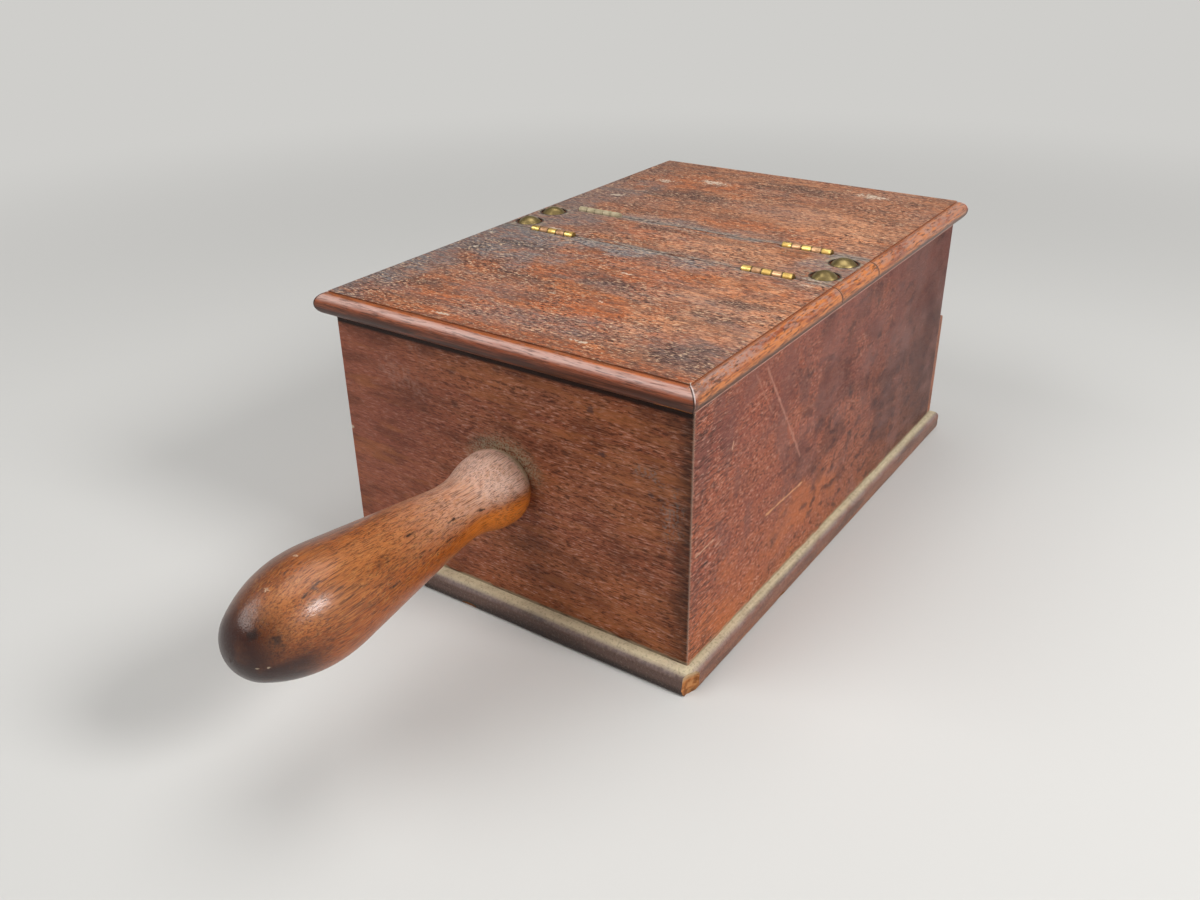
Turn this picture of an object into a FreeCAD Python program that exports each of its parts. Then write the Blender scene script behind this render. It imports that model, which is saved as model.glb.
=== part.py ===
import FreeCAD, Part
import os
import re

import Sketcher
from FreeCAD import Placement, Rotation, Vector

# A hand-held ballot box. +Z is up, the handle points along -Y, the drawer opens along +Y.
# The origin is on the base board's underside, below the middle of the walls. All sizes are in millimetres.
sizes = {
    # The case
    "body_length": 274,             # outside of the walls, handle end to drawer end
    "body_width": 180,              # outside of the side boards
    "wall_height": 114,
    "wall_thickness": 12,
    "corner_round": 1,              # worn arris of the upright corners
    "front_drop": 1,                # the front board stops short of the lid
    "base_thickness": 11,
    "base_side_overhang": 4,        # base beyond the side boards
    "base_front_overhang": 6,       # base beyond the front board
    "base_drawer_overhang": 9,      # base beyond the back board, under the drawer's lip
    "base_round": 4,                # upper edge of the base
    "base_foot_round": 1.5,         # lower edge of the base
    "base_screw_radius": 2,
    "base_screw_head_radius": 3.8,
    "base_screw_head_depth": 2.2,
    "base_screw_length": 32,
    "base_screw_inset": 32,         # end screws of a side board from the ends of the walls
    # The lids and the strip between them
    "lid_thickness": 10.5,
    "lid_side_overhang": 4.2,       # lids and strip beyond the side boards
    "lid_end_overhang": 8,          # lids beyond the end walls
    "quirk_depth": 0.6,             # step between the flat top and the half-round edge
    "strip_width": 40,
    "joint_gap": 0.6,               # between a lid and the strip
    # The butt hinges
    "hinge_length": 25,
    "hinge_inset": 31.5,            # middle of a hinge from the side board's face
    "leaf_height": 8.5,             # from the pin's axis down
    "leaf_thickness": 0.9,
    "leaf_clearance": 0.1,          # round the leaf in its recess
    "knuckle_radius": 1.9,
    "knuckle_gap": 0.3,             # between neighbouring knuckles
    "knuckle_clearance": 0.35,      # round the knuckles in the wood and in the other leaf
    "pin_radius": 0.9,
    "pin_clearance": 0.05,
    "hinge_screw_radius": 1,
    "hinge_screw_head_radius": 1.8,
    "hinge_screw_head_depth": 0.8,
    "hinge_screw_length": 9,
    "hinge_screw_spread": 14,       # between the two screws of a leaf
    "hinge_screw_drop": 5.2,        # below the pin's axis
    "screw_clearance": 0.05,        # round every screw and nail in its hole
    "screw_slot_width": 0.5,
    "screw_slot_depth": 0.4,
    # The domed nails that hold the strip
    "stud_head_radius": 6,
    "stud_head_rise": 3.4,
    "stud_shank_radius": 1.25,
    "stud_length": 26,
    "stud_socket_radius": 6.5,
    "stud_socket_depth": 0.9,
    "stud_inset": 9,                # from the side board's face
    "stud_pitch": 20.5,             # along the box
    # Inside
    "partition_thickness": 9,
    "housing_depth": 3,             # grooves in the side boards
    "shelf_thickness": 8,
    "ball_hole_radius": 12,
    "ball_hole_height": 24,         # middle of the hole above the shelf
    # The drawer
    "drawer_opening_height": 53,
    "drawer_gap": 0.5,              # beside and above the drawer
    "drawer_end_gap": 2,            # behind the drawer
    "drawer_lip_thickness": 4.5,
    "drawer_lip_height": 60,
    "drawer_lip_margin": 0.2,       # lip short of the side boards' faces
    "drawer_lip_lift": 0.4,         # lip clear of the base
    "drawer_lip_round": 2.5,
    "drawer_tongue": 7,             # the part of the front that fills the opening
    "drawer_side_thickness": 7,
    "drawer_back_thickness": 7,
    "drawer_bottom_thickness": 4,
    "drawer_bottom_lift": 3,
    "drawer_groove_depth": 3,
    "guide_width": 10,              # between the drawer's opening and the side boards
    "guide_height": 14,
    "knob_radius": 6.5,
    "knob_length": 12,
    "knob_rim_height": 8,           # widest place of the knob above the drawer front
    "knob_neck_radius": 2.8,
    "knob_neck_height": 5,
    "knob_flange_radius": 5,
    "knob_flange_height": 1.5,
    "knob_tail_radius": 2,
    "knob_tail_length": 9,
    # The turned handle: places are measured from the front board
    "handle_length": 140.8,
    "handle_height": 57.3,          # axis above the base board
    "shoulder_radius": 14,
    "collar_radius": 16.6,
    "collar_place": 7,
    "neck_radius": 12.65,
    "neck_place": 30,
    "neck_round": 70,
    "bulb_radius": 21.3,
    "bulb_place": 105,
    "bulb_round": 71,
    "tip_round": 15.5,
    "tenon_radius": 9,
    "tenon_clearance": 0.05,
    "wedge_thickness": 2.4,
    "wedge_tip": 0.8,
    "wedge_length": 10,
    "wedge_height": 16,
    "wedge_clearance": 0.05,
}

# Places that several pieces share, as formulas of the sizes.
wall_top = "(base_thickness + wall_height)"
lid_top = "(base_thickness + wall_height + lid_thickness)"
half_width = "(body_width / 2)"
half_length = "(body_length / 2)"
inner_half_width = "(body_width / 2 - wall_thickness)"
inner_half_length = "(body_length / 2 - wall_thickness)"
mitre_step = "(corner_round * (1 - sqrt(0.5)))"
lid_half_width = "(body_width / 2 + lid_side_overhang)"
lid_length = "(body_length / 2 + lid_end_overhang - strip_width / 2 - joint_gap)"
pin_place = "(strip_width / 2 + joint_gap / 2)"
shelf_top = "(base_thickness + drawer_opening_height + shelf_thickness)"
partition_face = "(partition_thickness / 2)"
hinge_place = "(body_width / 2 - hinge_inset)"
stud_place = "(body_width / 2 - stud_inset)"
opening_half_width = "(body_width / 2 - wall_thickness - guide_width)"
drawer_half_width = "(body_width / 2 - wall_thickness - guide_width - drawer_gap)"
drawer_height = "(drawer_opening_height - drawer_gap)"
drawer_rear = "(partition_thickness / 2 + drawer_end_gap)"
drawer_front_face = "(body_length / 2 - drawer_tongue)"
drawer_floor = "(base_thickness + drawer_bottom_lift)"

past = "1"                          # how far a cutting shape runs past the wood
knuckle_count = 5
knuckle_length = f"(hinge_length / {knuckle_count})"
side_names = {-1: "left", 1: "right"}
lid_names = {-1: "near", 1: "far"}
turns = {
    "x": Rotation(Vector(0, 1, 0), 90),
    "y": Rotation(Vector(1, 0, 0), -90),
    "-y": Rotation(Vector(1, 0, 0), 90),
    "z": Rotation(),
}

doc = FreeCAD.newDocument("ballot_box")
sheet = doc.addObject("Spreadsheet::Sheet", "Sizes")
for row, (name, value) in enumerate(sizes.items(), start=1):
    sheet.set(f"A{row}", name)
    sheet.set(f"B{row}", str(value))
    sheet.setAlias(f"B{row}", name)
doc.recompute()

nodes = []


def sized(formula):
    """The formula with every size pointing at its cell in the sheet."""
    return re.sub(r"[a-z]\w*", lambda word: f"Sizes.{word[0]}" if word[0] in sizes else word[0], str(formula))


def number(formula):
    result = sheet.evalExpression(sized(formula))
    return float(getattr(result, "Value", result))


def tie(thing, **formulas):
    for name, formula in formulas.items():
        thing.setExpression(name, sized(formula))


def place(thing, x, y, z, turn=Rotation()):
    thing.Placement = Placement(Vector(), turn)
    for axis, formula in zip("xyz", (x, y, z)):
        thing.setExpression(f"Placement.Base.{axis}", sized(formula))
    return thing


def node(thing, label):
    """Marks a finished piece, to be written to a file of that name."""
    thing.Label = label
    nodes.append(thing)
    return thing


def block(name, size, centre):
    box = doc.addObject("Part::Box", name)
    tie(box, Length=size[0], Width=size[1], Height=size[2])
    corner = [f"({middle}) - ({side}) / 2" for side, middle in zip(size, centre)]
    return place(box, *corner)


def rod(name, radius, length, centre, axis):
    cylinder = doc.addObject("Part::Cylinder", name)
    tie(cylinder, Radius=radius, Height=length)
    start = list(centre)
    along = "xyz".index(axis)
    start[along] = f"({centre[along]}) - ({length}) / 2"
    return place(cylinder, *start, turns[axis])


def copy(name, source, x, y, z, axis="z"):
    link = doc.addObject("App::Link", name)
    link.LinkedObject = source
    return place(link, x, y, z, turns[axis])


def fuse(name, pieces):
    joined = doc.addObject("Part::MultiFuse", name)
    joined.Shapes = pieces
    return joined


def cut(name, base, tools):
    result = doc.addObject("Part::Cut", name)
    result.Base = base
    result.Tool = tools[0] if len(tools) == 1 else fuse(f"{name}_cuts", tools)
    return result


def group(name, pieces):
    bundle = doc.addObject("Part::Compound", name)
    bundle.Links = pieces
    return node(bundle, name)


def outline(body, plane, corners, arcs=None):
    """A closed sketch through corners given as formulas.

    arcs maps a corner's number to the centre of the arc that leaves it, and whether that arc
    turns anticlockwise. Every other edge is straight.
    """
    arcs = arcs or {}
    sketch = body.newObject("Sketcher::SketchObject", f"{body.Name}_outline")
    origin = {feature.Role: feature for feature in body.Origin.OriginFeatures}
    sketch.AttachmentSupport = [(origin[plane], "")]
    sketch.MapMode = "FlatFace"
    spots = [Vector(number(x), number(y), 0) for x, y in corners]
    count = len(spots)
    first = {}
    last = {}
    for index, spot in enumerate(spots):
        following = spots[(index + 1) % count]
        first[index], last[index] = 1, 2
        if index in arcs:
            middle, anticlockwise = arcs[index]
            hub = Vector(number(middle[0]), number(middle[1]), 0)
            circle = Part.Circle(hub, Vector(0, 0, 1), spot.distanceToPoint(hub))
            ends = [circle.parameter(spot), circle.parameter(following)]
            if not anticlockwise:
                first[index], last[index] = 2, 1
                ends.reverse()
            sketch.addGeometry(Part.ArcOfCircle(circle, *ends))
        else:
            sketch.addGeometry(Part.LineSegment(spot, following))

    def dimension(kind, index, position, formula):
        number_of_it = sketch.addConstraint(
            Sketcher.Constraint(kind, -1, 1, index, position, number(formula)))
        sketch.setExpression(f"Constraints[{number_of_it}]", sized(formula))

    for index, (x, y) in enumerate(corners):
        before = (index - 1) % count
        sketch.addConstraint(Sketcher.Constraint("Coincident", before, last[before], index, first[index]))
        dimension("DistanceX", index, first[index], x)
        dimension("DistanceY", index, first[index], y)
    for index, (middle, anticlockwise) in arcs.items():
        chord = spots[(index + 1) % count] - spots[index]
        if abs(chord.x) < abs(chord.y):
            dimension("DistanceX", index, 3, middle[0])
        else:
            dimension("DistanceY", index, 3, middle[1])
    return sketch


def new_body(name):
    return doc.addObject("PartDesign::Body", name)


def pad(body, sketch, length, symmetric=False):
    feature = body.newObject("PartDesign::Pad", f"{body.Name}_pad")
    feature.Profile = sketch
    feature.SideType = "Symmetric" if symmetric else "One side"
    tie(feature, Length=length)
    return feature


def pocket(body, sketch, length, symmetric=False, upwards=False):
    feature = body.newObject("PartDesign::Pocket", f"{body.Name}_pocket")
    feature.Profile = sketch
    feature.SideType = "Symmetric" if symmetric else "One side"
    feature.Reversed = upwards
    tie(feature, Length=length)
    return feature


def turned(name, plane, axis, corners, arcs=None):
    """A piece turned on a lathe, from its half outline."""
    body = new_body(name)
    sketch = outline(body, plane, corners, arcs)
    feature = body.newObject("PartDesign::Revolution", f"{name}_turning")
    feature.Profile = sketch
    feature.ReferenceAxis = (sketch, [axis])
    return body


def moulded_board(name, half_across, length, thickness, edge, arcs, ends):
    """A board with a moulded edge on both sides and on the ends named by their sign.

    edge lists (inset, height) from the underside up, and arcs gives the centres of its rounds.
    """
    body = new_body(name)
    count = len(edge)
    right = [(f"{half_across} - {inset}", height) for inset, height in edge]
    left = [(f"-({x})", height) for x, height in reversed(right)]
    rounds = {}
    for index, (inset, height) in arcs.items():
        rounds[index] = ((f"{half_across} - {inset}", height), True)
        rounds[2 * count - 2 - index] = ((f"-({half_across} - {inset})", height), True)
    pad(body, outline(body, "XZ_Plane", right + left, rounds), length, symmetric=True)
    for end in ends:
        reach = f"{length} / 2"
        kept = [(f"{end} * ({reach} - {inset})", height) for inset, height in edge]
        waste = [
            (kept[-1][0], f"{thickness} + {past}"),
            (f"{end} * ({reach} + {past})", f"{thickness} + {past}"),
            (f"{end} * ({reach} + {past})", f"-{past}"),
            (kept[0][0], f"-{past}"),
        ]
        rounds = {
            index: ((f"{end} * ({reach} - {inset})", height), end > 0)
            for index, (inset, height) in arcs.items()
        }
        sketch = outline(body, "YZ_Plane", kept + waste, rounds)
        pocket(body, sketch, f"2 * ({half_across} + {past})", symmetric=True)
    return body


def end_wall(name, end, height):
    """A wall across the box at the end given by its sign, mitred into the side walls."""
    plan = [
        (f"-({half_width} - corner_round)", f"{end} * {half_length}"),
        (f"{half_width} - corner_round", f"{end} * {half_length}"),
        (f"{half_width} - {mitre_step}", f"{end} * ({half_length} - {mitre_step})"),
        (inner_half_width, f"{end} * {inner_half_length}"),
        (f"-{inner_half_width}", f"{end} * {inner_half_length}"),
        (f"-({half_width} - {mitre_step})", f"{end} * ({half_length} - {mitre_step})"),
    ]
    rounds = {
        1: ((f"{half_width} - corner_round", f"{end} * ({half_length} - corner_round)"), end < 0),
        5: ((f"-({half_width} - corner_round)", f"{end} * ({half_length} - corner_round)"), end < 0),
    }
    return standing(name, plan, rounds, height)


def side_wall(name, side, height):
    """A wall along the box on the side given by its sign, mitred into the end walls."""
    plan = [
        (f"{side} * {half_width}", f"-({half_length} - corner_round)"),
        (f"{side} * {half_width}", f"{half_length} - corner_round"),
        (f"{side} * ({half_width} - {mitre_step})", f"{half_length} - {mitre_step}"),
        (f"{side} * {inner_half_width}", inner_half_length),
        (f"{side} * {inner_half_width}", f"-{inner_half_length}"),
        (f"{side} * ({half_width} - {mitre_step})", f"-({half_length} - {mitre_step})"),
    ]
    rounds = {
        1: ((f"{side} * ({half_width} - corner_round)", f"{half_length} - corner_round"), side > 0),
        5: ((f"{side} * ({half_width} - corner_round)", f"-({half_length} - corner_round)"), side > 0),
    }
    return standing(name, plan, rounds, height)


def standing(name, plan, rounds, height):
    body = new_body(name)
    pad(body, outline(body, "XY_Plane", plan, rounds), height)
    return place(body, "0", "0", "base_thickness")


def screw(name, radius, head_radius, head_depth, length):
    """A countersunk wood screw that points along its own +Z from the face of its head."""
    body = turned(name, "XZ_Plane", "V_Axis", [
        ("0", "0"),
        (head_radius, "0"),
        (radius, head_depth),
        (radius, f"{length} - 2 * {radius}"),
        ("0", length),
    ])
    slot = [
        (f"{x} * ({head_radius} + {past})", f"{y} * screw_slot_width / 2")
        for x, y in ((-1, -1), (1, -1), (1, 1), (-1, 1))
    ]
    pocket(body, outline(body, "XY_Plane", slot), "screw_slot_depth", upwards=True)
    return body


def screw_hole(name, radius, head_radius, head_depth, length):
    wide = f"{radius} + screw_clearance"
    return turned(name, "XZ_Plane", "V_Axis", [
        ("0", f"-{past}"),
        (f"{head_radius} + screw_clearance", f"-{past}"),
        (f"{head_radius} + screw_clearance", "0"),
        (wide, head_depth),
        (wide, f"{length} + screw_clearance"),
        ("0", f"{length} + screw_clearance"),
    ])


# Screws and their holes, each made once and copied to its places.
hinge_screw_sizes = (
    "hinge_screw_radius", "hinge_screw_head_radius", "hinge_screw_head_depth", "hinge_screw_length",
)
base_screw_sizes = (
    "base_screw_radius", "base_screw_head_radius", "base_screw_head_depth", "base_screw_length",
)
hinge_screw = screw("hinge_screw", *hinge_screw_sizes)
hinge_screw_hole = screw_hole("hinge_screw_hole", *hinge_screw_sizes)
base_screw = screw("base_screw", *base_screw_sizes)
base_screw_hole = screw_hole("base_screw_hole", *base_screw_sizes)

wall_middle = "(body_width / 2 - wall_thickness / 2)"
base_screw_places = {
    -1: [(f"-{wall_middle}", f"{row} * ({half_length} - base_screw_inset)") for row in (-1, 0, 1)],
    1: [(wall_middle, f"{row} * ({half_length} - base_screw_inset)") for row in (-1, 0, 1)],
    0: [(f"{side} * {half_width} / 2", f"-({half_length} - wall_thickness / 2)") for side in (-1, 1)],
}
all_base_screws = [spot for spots in base_screw_places.values() for spot in spots]


def base_screw_holes(name, spots):
    return [copy(f"{name}_screw_hole", base_screw_hole, x, y, "0") for x, y in spots]


def hinge_screw_spots(lid, inwards):
    """Places of the screws in the strip's edge (inwards -1) or the lid's edge (inwards 1)."""
    face = f"{lid} * ({pin_place} + {inwards} * joint_gap / 2)"
    level = f"{lid_top} - hinge_screw_drop"
    axis = "y" if lid * inwards > 0 else "-y"
    return [
        (f"{hinge} * {hinge_place} + {row} * hinge_screw_spread / 2", face, level, axis)
        for hinge in (-1, 1) for row in (-1, 1)
    ]


def hinge_cuts(name, lid, inwards):
    """What is cut out of the wood for one lid's hinges: knuckle channels, leaf recesses, screw holes."""
    tools = []
    for hinge in (-1, 1):
        x = f"{hinge} * {hinge_place}"
        tools.append(rod(
            f"{name}_channel", "knuckle_radius + knuckle_clearance", "hinge_length + 2 * knuckle_clearance",
            (x, f"{lid} * {pin_place}", lid_top), "x",
        ))
        tools.append(block(
            f"{name}_recess",
            ("hinge_length + 2 * leaf_clearance", "leaf_thickness", "leaf_height + leaf_clearance"),
            (
                x,
                f"{lid} * ({pin_place} + {inwards} * (joint_gap + leaf_thickness) / 2)",
                f"{lid_top} - (leaf_height + leaf_clearance) / 2",
            ),
        ))
    for spot in hinge_screw_spots(lid, inwards):
        tools.append(copy(f"{name}_screw_hole", hinge_screw_hole, *spot))
    return tools


# Base board
base_edge = [
    ("base_foot_round", "0"), ("0", "base_foot_round"), ("0", "base_thickness - base_round"),
    ("base_round", "base_thickness"),
]
base_arcs = {
    0: ("base_foot_round", "base_foot_round"),
    2: ("base_round", "base_thickness - base_round"),
}
base_blank = moulded_board(
    "base_blank", "(body_width / 2 + base_side_overhang)",
    "(body_length + base_front_overhang + base_drawer_overhang)", "base_thickness",
    base_edge, base_arcs, ends=(-1, 1),
)
place(base_blank, "0", "(base_drawer_overhang - base_front_overhang) / 2", "0")
node(cut("base_board", base_blank, base_screw_holes("base", all_base_screws)), "base_board")
group("base_screws", [
    copy(f"base_screw_{index}", base_screw, x, y, "0") for index, (x, y) in enumerate(all_base_screws)
])

# Walls, mitred at the corners
front_blank = end_wall("front_blank", -1, "wall_height - front_drop")
handle_axis = "base_thickness + handle_height"
tenon_hole = rod(
    "tenon_hole", "tenon_radius + tenon_clearance", f"wall_thickness + 2 * {past}",
    ("0", f"-({half_length} - wall_thickness / 2)", handle_axis), "y",
)
front_tools = [tenon_hole] + base_screw_holes("front", base_screw_places[0])
node(cut("front_board", front_blank, front_tools), "front_board")

back_blank = end_wall("back_blank", 1, "wall_height")
drawer_opening = block(
    "drawer_opening",
    (f"2 * {opening_half_width}", f"wall_thickness + 2 * {past}", f"drawer_opening_height + {past}"),
    ("0", f"{half_length} - wall_thickness / 2", f"base_thickness + (drawer_opening_height - {past}) / 2"),
)
node(cut("back_board", back_blank, [drawer_opening]), "back_board")

shelf_length = f"({inner_half_length} - {partition_face})"
shelf_middle = f"(({inner_half_length} + {partition_face}) / 2)"
shelf_level = "base_thickness + drawer_opening_height + shelf_thickness / 2"


def stud_holes(name, side):
    """Shank holes of the two nails at one end of the strip, through the strip and into the wall."""
    length = f"stud_length + screw_clearance + {past}"
    bottom = f"{lid_top} - stud_socket_depth - stud_length - screw_clearance"
    return [
        rod(
            f"{name}_stud_hole", "stud_shank_radius + screw_clearance", length,
            (f"{side} * {stud_place}", f"{row} * stud_pitch / 2", f"{bottom} + ({length}) / 2"), "z",
        )
        for row in (-1, 1)
    ]


for side, side_name in side_names.items():
    name = f"{side_name}_side_board"
    housing_middle = f"{side} * ({inner_half_width} + housing_depth / 2)"
    partition_housing = block(
        f"{name}_partition_housing", ("housing_depth", "partition_thickness", f"wall_height + 2 * {past}"),
        (housing_middle, "0", "base_thickness + wall_height / 2"),
    )
    shelf_housing = block(
        f"{name}_shelf_housing", ("housing_depth", shelf_length, "shelf_thickness"),
        (housing_middle, shelf_middle, shelf_level),
    )
    tools = [partition_housing, shelf_housing] + stud_holes(name, side)
    tools += base_screw_holes(name, base_screw_places[side])
    node(cut(name, side_wall(f"{side_name}_side_blank", side, "wall_height"), tools), name)

# Partition under the strip, with the hole for the ballots, and the floor of the far compartment
housed_width = f"2 * ({inner_half_width} + housing_depth)"
partition_blank = block(
    "partition_blank", (housed_width, "partition_thickness", "wall_height"),
    ("0", "0", "base_thickness + wall_height / 2"),
)
ball_hole = rod(
    "ball_hole", "ball_hole_radius", f"partition_thickness + 2 * {past}",
    ("0", "0", f"{shelf_top} + ball_hole_height"), "y",
)
node(cut("partition_board", partition_blank, [ball_hole]), "partition_board")
node(block("shelf_board", (housed_width, shelf_length, "shelf_thickness"), ("0", shelf_middle, shelf_level)),
     "shelf_board")

# Centre strip and lids
nosing = "(lid_thickness - quirk_depth) / 2"
lid_edge = [(nosing, "0"), (nosing, f"2 * {nosing}"), (nosing, "lid_thickness")]
lid_arcs = {0: (nosing, nosing)}

strip_blank = moulded_board(
    "strip_blank", lid_half_width, "strip_width", "lid_thickness", lid_edge, lid_arcs, ends=(),
)
place(strip_blank, "0", "0", wall_top)
strip_tools = hinge_cuts("strip_near", -1, -1) + hinge_cuts("strip_far", 1, -1)
for side in side_names:
    strip_tools += stud_holes("strip", side)
    for row in (-1, 1):
        strip_tools.append(rod(
            "stud_socket", "stud_socket_radius", f"stud_socket_depth + {past}",
            (
                f"{side} * {stud_place}", f"{row} * stud_pitch / 2",
                f"{lid_top} + ({past} - stud_socket_depth) / 2",
            ), "z",
        ))
node(cut("centre_strip", strip_blank, strip_tools), "centre_strip")

for lid, lid_name in lid_names.items():
    blank = moulded_board(
        f"{lid_name}_lid_blank", lid_half_width, lid_length, "lid_thickness", lid_edge, lid_arcs, ends=(lid,),
    )
    place(blank, "0", f"{lid} * (strip_width / 2 + joint_gap + {lid_length} / 2)", wall_top)
    node(cut(f"{lid_name}_lid", blank, hinge_cuts(f"{lid_name}_lid", lid, 1)), f"{lid_name}_lid")

# Domed nails
dome_radius = "((stud_head_radius^2 + stud_head_rise^2) / (2 * stud_head_rise))"
stud = turned("stud", "XZ_Plane", "V_Axis", [
    ("0", "-stud_length"),
    ("stud_shank_radius", "2 * stud_shank_radius - stud_length"),
    ("stud_shank_radius", "0"),
    ("stud_head_radius", "0"),
    ("0", "stud_head_rise"),
], {3: (("0", f"stud_head_rise - {dome_radius}"), True)})
group("strip_studs", [
    copy(
        f"stud_{side_names[side]}_{lid_names[row]}", stud,
        f"{side} * {stud_place}", f"{row} * stud_pitch / 2", f"{lid_top} - stud_socket_depth",
    )
    for side in side_names for row in lid_names
])


def knuckle_middle(index):
    return f"{index - (knuckle_count - 1) / 2} * {knuckle_length}"


def hinge_leaf(name, side, own_knuckles):
    """One leaf about the pin's axis, with its plate hanging on the side of the joint given by its sign."""
    plate = block(
        f"{name}_plate", ("hinge_length", "leaf_thickness", "leaf_height"),
        ("0", f"{side} * (joint_gap + leaf_thickness) / 2", "-leaf_height / 2"),
    )
    notches = [
        rod(
            f"{name}_notch", "knuckle_radius + knuckle_clearance", f"{knuckle_length} + knuckle_gap",
            (knuckle_middle(index), "0", "0"), "x",
        )
        for index in range(knuckle_count) if index not in own_knuckles
    ]
    knuckles = [
        rod(
            f"{name}_knuckle", "knuckle_radius", f"{knuckle_length} - knuckle_gap",
            (knuckle_middle(index), "0", "0"), "x",
        )
        for index in own_knuckles
    ]
    solid = fuse(f"{name}_solid", [cut(f"{name}_notched", plate, notches)] + knuckles)
    bore_length = f"hinge_length + 2 * {past}"
    bore = rod(f"{name}_bore", "pin_radius + pin_clearance", bore_length, ("0", "0", "0"), "x")
    axis = "y" if side > 0 else "-y"
    screw_holes = [
        copy(
            f"{name}_screw_hole", hinge_screw_hole,
            f"{row} * hinge_screw_spread / 2", f"{side} * joint_gap / 2", "-hinge_screw_drop", axis,
        )
        for row in (-1, 1)
    ]
    return cut(name, solid, [bore] + screw_holes)


half_turn = Rotation(Vector(0, 0, 1), 180)
for lid, lid_name in lid_names.items():
    turn = Rotation() if lid < 0 else half_turn
    for side, side_name in side_names.items():
        hinge = f"{lid_name}_{side_name}_hinge"
        spot = (f"{side} * {hinge_place}", f"{lid} * {pin_place}", lid_top)
        lid_leaf = hinge_leaf(f"{hinge}_lid_leaf", -1, own_knuckles=(0, 2, 4))
        strip_leaf = hinge_leaf(f"{hinge}_strip_leaf", 1, own_knuckles=(1, 3))
        node(place(lid_leaf, *spot, turn), f"{hinge}_lid_leaf")
        node(place(strip_leaf, *spot, turn), f"{hinge}_strip_leaf")
        node(rod(f"{hinge}_pin", "pin_radius", "hinge_length - knuckle_gap", spot, "x"), f"{hinge}_pin")
    group(f"{lid_name}_lid_hinge_screws", [
        copy(f"{lid_name}_lid_screw", hinge_screw, *spot) for spot in hinge_screw_spots(lid, 1)
    ])
group("strip_hinge_screws", [
    copy("strip_screw", hinge_screw, *spot) for lid in lid_names for spot in hinge_screw_spots(lid, -1)
])

# Drawer
drawer_depth = f"({drawer_front_face} - {drawer_rear})"
drawer_middle = f"(({drawer_front_face} + {drawer_rear}) / 2)"
drawer_inner_half = f"({drawer_half_width} - drawer_side_thickness)"
bottom_width = f"2 * ({drawer_inner_half} + drawer_groove_depth)"
bottom_level = f"{drawer_floor} + drawer_bottom_thickness / 2"
lip_bottom = "(base_thickness + drawer_lip_lift)"
lip_top = "(base_thickness + drawer_lip_lift + drawer_lip_height)"
lip_face = f"({half_length} + drawer_lip_thickness)"

lip = new_body("drawer_lip")
lip_outline = outline(lip, "YZ_Plane", [
    (half_length, lip_bottom),
    (lip_face, lip_bottom),
    (lip_face, f"{lip_top} - drawer_lip_round"),
    (f"{lip_face} - drawer_lip_round", lip_top),
    (half_length, lip_top),
], {2: ((f"{lip_face} - drawer_lip_round", f"{lip_top} - drawer_lip_round"), True)})
pad(lip, lip_outline, "body_width - 2 * drawer_lip_margin", symmetric=True)
tongue = block(
    "drawer_tongue", (f"2 * {drawer_half_width}", "drawer_tongue", drawer_height),
    ("0", f"{half_length} - drawer_tongue / 2", f"base_thickness + {drawer_height} / 2"),
)
front_groove = block(
    "drawer_front_groove", (bottom_width, "drawer_groove_depth", "drawer_bottom_thickness"),
    ("0", f"{drawer_front_face} + drawer_groove_depth / 2", bottom_level),
)
knob_level = f"{lip_bottom} + drawer_lip_height / 2"
knob_hole = rod(
    "knob_hole", "knob_tail_radius + screw_clearance", f"knob_tail_length + screw_clearance + {past}",
    ("0", f"{lip_face} + ({past} - knob_tail_length - screw_clearance) / 2", knob_level), "y",
)
drawer_front_solid = fuse("drawer_front_solid", [lip, tongue])
node(cut("drawer_front", drawer_front_solid, [front_groove, knob_hole]), "drawer_front")

for side, side_name in side_names.items():
    name = f"drawer_{side_name}_side"
    blank = block(
        f"{name}_blank", ("drawer_side_thickness", drawer_depth, drawer_height),
        (
            f"{side} * ({drawer_half_width} - drawer_side_thickness / 2)", drawer_middle,
            f"base_thickness + {drawer_height} / 2",
        ),
    )
    groove = block(
        f"{name}_groove", ("drawer_groove_depth", f"{drawer_depth} + 2 * {past}", "drawer_bottom_thickness"),
        (f"{side} * ({drawer_inner_half} + drawer_groove_depth / 2)", drawer_middle, bottom_level),
    )
    node(cut(name, blank, [groove]), name)

bottom_front = f"({drawer_front_face} + drawer_groove_depth)"
node(block(
    "drawer_bottom", (bottom_width, f"{bottom_front} - {drawer_rear}", "drawer_bottom_thickness"),
    ("0", f"({bottom_front} + {drawer_rear}) / 2", bottom_level),
), "drawer_bottom")
back_height = f"({drawer_height} - drawer_bottom_lift - drawer_bottom_thickness)"
node(block(
    "drawer_back", (f"2 * {drawer_inner_half}", "drawer_back_thickness", back_height),
    (
        "0", f"{drawer_rear} + drawer_back_thickness / 2",
        f"{drawer_floor} + drawer_bottom_thickness + {back_height} / 2",
    ),
), "drawer_back")

knob_dome = "((knob_radius^2 + (knob_length - knob_rim_height)^2) / (2 * (knob_length - knob_rim_height)))"
knob = turned("drawer_knob", "XZ_Plane", "V_Axis", [
    ("0", "-knob_tail_length"),
    ("knob_tail_radius", "-knob_tail_length"),
    ("knob_tail_radius", "0"),
    ("knob_flange_radius", "0"),
    ("knob_flange_radius", "knob_flange_height"),
    ("knob_neck_radius", "knob_flange_height"),
    ("knob_neck_radius", "knob_neck_height"),
    ("knob_radius", "knob_rim_height"),
    ("0", "knob_length"),
], {7: (("0", f"knob_length - {knob_dome}"), True)})
node(place(knob, "0", lip_face, knob_level, turns["y"]), "drawer_knob")

for side, side_name in side_names.items():
    name = f"{side_name}_drawer_guide"
    guide_middle = f"{side} * ({inner_half_width} - guide_width / 2)"
    node(block(
        name, ("guide_width", shelf_length, "guide_height"),
        (guide_middle, shelf_middle, "base_thickness + guide_height / 2"),
    ), name)

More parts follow.
